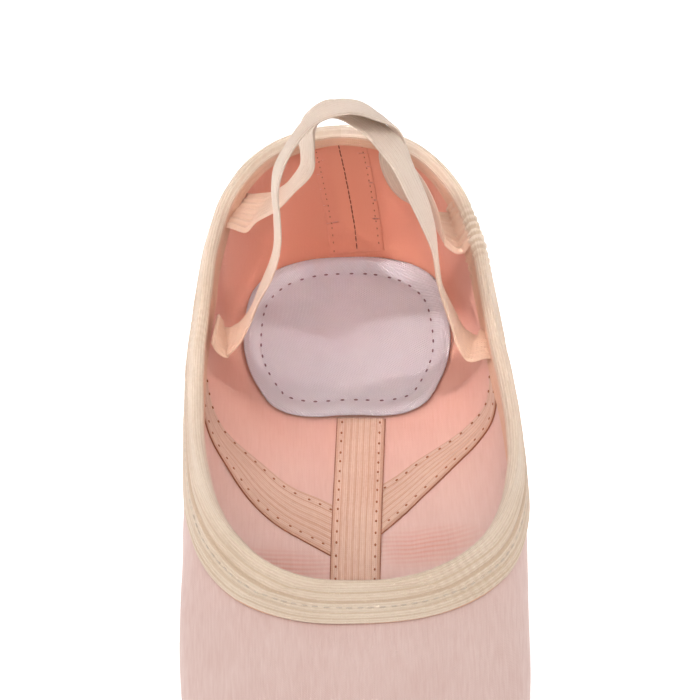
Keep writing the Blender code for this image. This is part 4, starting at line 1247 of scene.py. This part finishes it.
centre_rows = [on_tape(CENTRE_TAPE, side * (EDGE - CENTRE_INSET), over=True) for side in SIDES]
side_rows = [
    on_tape(route, side * (EDGE - SIDE_INSET), slant)
    for route, slant in ((LEFT_TAPE, LEFT_SLANT), (RIGHT_TAPE, RIGHT_SLANT))
    for side in SIDES
]
centre_stitches = report(sew("stitches_along_the_arch_tape", centre_rows, RUST_THREAD_WITH_PAINTED_SHADE, HOLE, HOLE_STEP))
side_stitches = report(sew("stitches_along_the_side_tapes", side_rows, RUST_THREAD_WITH_PAINTED_SHADE, HOLE, HOLE_STEP))
# The rust cords along the tapes' edges stand for seam lines; along the side tapes' front edges they are
# also painted shadow of the folded edge.
cords = [
    report(add_cord(name, *on_tape(route, offset, slant, over, lift=CORD_LIFT), CORD_RADIUS, RUST_THREAD_WITH_PAINTED_SHADE))
    for name, route, offset, slant, over in (
        ("seam_line_and_fold_shadow_left_front", LEFT_TAPE, -EDGE, LEFT_SLANT, False),
        ("seam_line_and_fold_shadow_right_front", RIGHT_TAPE, EDGE, RIGHT_SLANT, False),
        ("seam_line_arch_left", CENTRE_TAPE, -EDGE, 0.0, True),
        ("seam_line_arch_right", CENTRE_TAPE, EDGE, 0.0, True),
    )
]
heel_face = TAPE_OFF_WALL + HEEL_TAPE_THICKNESS
heel_rows = [on_tape(HEEL_TAPE, side * HEEL_STITCHES_OUT, lift=heel_face) for side in SIDES]
heel_stitches = report(sew("stitches_down_the_heel_tape", heel_rows, RUST_THREAD_WITH_PAINTED_SHADE, FINE_HOLE, FINE_STEP))
heel_middle = on_tape(HEEL_TAPE, 0.0, lift=heel_face)
heel_seam = report(sew("seam_down_the_heel", [heel_middle], BROWN_THREAD_WITH_PAINTED_SHADE, SEAM_STITCH, SEAM_STEP))

# %% [markdown]
# ## Soles and pads
#
# Each patch is a closed cushion whose lines run from the middle of its inner face, round its edge and
# back to the middle of its outer face. The soles are flat below, with a bevelled edge. The pads are
# puffed, with a sewn channel.

# %% Lay the patches above and below the canvas
# How far the soles and the pads are sewn inside their edges, and the heel's pad off the middle, in mm
SOLE_CHANNEL, PAD_CHANNEL, PAD_ASIDE = 2.6, 4.9, 0.9
# A patch's outer face sinks at its edge and along its channel, each by a depth over a width, in mm
SOLE_RELIEF = SOLE_CHANNEL, (1.2, 0.5), (0.25, 0.5)
PAD_RELIEF = PAD_CHANNEL, (1.0, 0.8), (0.6, 1.2)
SOLE_LOW, SOLE_HIGH = -GAP, -GAP - SOLE_THICKNESS
PAD_OFF_WALL = 0.1
PAD_LOW, PAD_HIGH = WALL + PAD_OFF_WALL, WALL + GAP + PAD_THICKNESS
# A patch's grid: lines on each side, rings of its two faces, and how these close up at the edge
SPOKES, INNER_RINGS, OUTER_RINGS, RINGS_CLOSE_UP = 70, 5, 34, 1.25
# Plan points this far apart, in mm, give the slope of the last's underside
NUDGE = 0.05


def floor_points(x, y, lift):
    """Plan points set on the last's underside, then lifted into the last square to it."""
    slope_x = (bottom_level(x + NUDGE, y) - bottom_level(x - NUDGE, y)) / (2 * NUDGE)
    slope_y = (bottom_level(x, y + NUDGE) - bottom_level(x, y - NUDGE)) / (2 * NUDGE)
    inward = unit(np.stack([-slope_x, -slope_y, np.ones_like(x)], axis=-1))
    return np.stack([x, y, bottom_level(x, y)], axis=-1) + inward * lift[..., None]


def add_patch(name, plan, low, high, relief, finish, aside=0.0):
    """A closed patch between two lifts, moved aside, whose outer face sinks by the relief."""
    edge = plan.spread(SPOKES + 1)
    edge = np.concatenate([edge, edge[-2:0:-1] * (1, -1)])
    centre = np.stack([np.zeros(len(edge)), plan.centre(edge[:, 0])], axis=-1)[:, None]
    share = 1 - np.linspace(0, 1, OUTER_RINGS) ** RINGS_CLOSE_UP
    share = np.concatenate([np.linspace(0, 1, INNER_RINGS + 1)[:-1], share])[None, :, None]
    at = centre + (edge[:, None, 1::-1] - centre) * share
    x, y = at[..., 0], at[..., 1]
    inside = np.maximum(inside_edge(plan, x, y), 0)
    channel, (edge_depth, edge_width), (depth, width) = relief
    sink = edge_depth * bump(inside, edge_width) + depth * bump(inside - channel, width)
    lift = np.where(np.arange(x.shape[1]) < INNER_RINGS, low, high - np.sign(high - low) * sink)
    return lay_sheet(name, floor_points(x + aside, y, lift), (finish,), around=True)


sole_front, sole_heel = (
    report(add_patch(name, plan, SOLE_LOW, SOLE_HIGH, SOLE_RELIEF, SUEDE))
    for name, plan in (("suede_sole_front", FOREFOOT_PLAN), ("suede_sole_heel", HEEL_PLAN))
)
pad_front, pad_heel = (
    report(add_patch(name, patch_plan(rows), PAD_LOW, PAD_HIGH, PAD_RELIEF, TWILL, aside))
    for name, rows, aside in (("pad_front", FOREFOOT_PAD, 0.0), ("pad_heel", HEEL_PAD, PAD_ASIDE))
)

# %% Sew the soles and pads
# How deep the stitches sink into a sole and into a pad, in mm
SOLE_SEAM_SINKS, PAD_SEAM_SINKS = 0.15, 0.5
# Stitches' length, width and height, and their step, in mm
SOLE_STITCH, SOLE_STEP, PAD_STITCH, PAD_STEP = (2.0, 0.5, 0.3), 3.0, (1.2, 0.5, 0.5), 3.3
# Points on each side of a patch's seam
SEAM_POINTS = 90


def row_inside(plan, inset, lift, aside=0.0):
    """A closed line inside a patch's edge at a lift from the last's underside, and the ways out of it."""
    edge = plan.spread(SEAM_POINTS)
    edge = np.concatenate([edge, edge[-2:0:-1] * (1, -1)])[:, 1::-1]
    along = np.roll(edge, -1, axis=0) - np.roll(edge, 1, axis=0)
    inward = unit(np.stack([along[:, 1], -along[:, 0]], axis=-1))
    inward *= -np.sign(np.sum(inward * (edge - edge.mean(axis=0)), axis=1))[:, None]
    x, y = (np.vstack([edge, edge[:1]]) + np.vstack([inward, inward[:1]]) * inset).T
    low, high = (floor_points(x + aside, y, np.full_like(x, at)) for at in (lift, lift + 1))
    return low, high - low


pad_rows = [
    row_inside(patch_plan(rows), PAD_CHANNEL, PAD_HIGH - PAD_SEAM_SINKS, aside)
    for rows, aside in ((HEEL_PAD, PAD_ASIDE), (FOREFOOT_PAD, 0.0))
]
pad_stitches = report(sew("stitches_round_the_pads", pad_rows, MAUVE_THREAD_WITH_PAINTED_SHADE, PAD_STITCH, PAD_STEP))
sole_rows = [
    row_inside(plan, SOLE_CHANNEL, SOLE_HIGH + SOLE_SEAM_SINKS) for plan in (FOREFOOT_PLAN, HEEL_PLAN)
]
sole_stitches = report(sew("stitches_round_the_soles", sole_rows, PALE_THREAD, SOLE_STITCH, SOLE_STEP))

# %% [markdown]
# ## Join the pieces to the frame
#
# Twelve pieces stand for a solid of the construction model each, and take its place. Stitches and seam
# lines are added to them. All ride on the one body.

# %% Name what each piece stands for
STANDS_FOR = [
    (sock, "upper", "canvas"),
    (binding, "topline_binding", "elastic"),
    (strap_a, "strap_a", "elastic"),
    (strap_b, "strap_b", "elastic"),
    (tape_centre, "seam_tape_center", "tape"),
    (tape_left, "seam_tape_left", "tape"),
    (tape_right, "seam_tape_right", "tape"),
    (tape_heel, "seam_tape_heel", "tape"),
    (sole_front, "outsole_forefoot", "suede"),
    (sole_heel, "outsole_heel", "suede"),
    (pad_front, "insole_forefoot", "lining"),
    (pad_heel, "insole_heel", "lining"),
]
for piece, node, slot in STANDS_FOR:
    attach(piece, "root")
    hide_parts(node)
SEWN_ON = [
    (collar_stitches, "elastic"),
    (centre_stitches, "tape"),
    (side_stitches, "tape"),
    (heel_stitches, "canvas"),
    (heel_seam, "canvas"),
    (pad_stitches, "lining"),
    (sole_stitches, "suede"),
    *((cord, "tape") for cord in cords),
]
for piece, slot in SEWN_ON:
    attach(piece, "root")
print("pieces:", len(STANDS_FOR) + len(SEWN_ON))
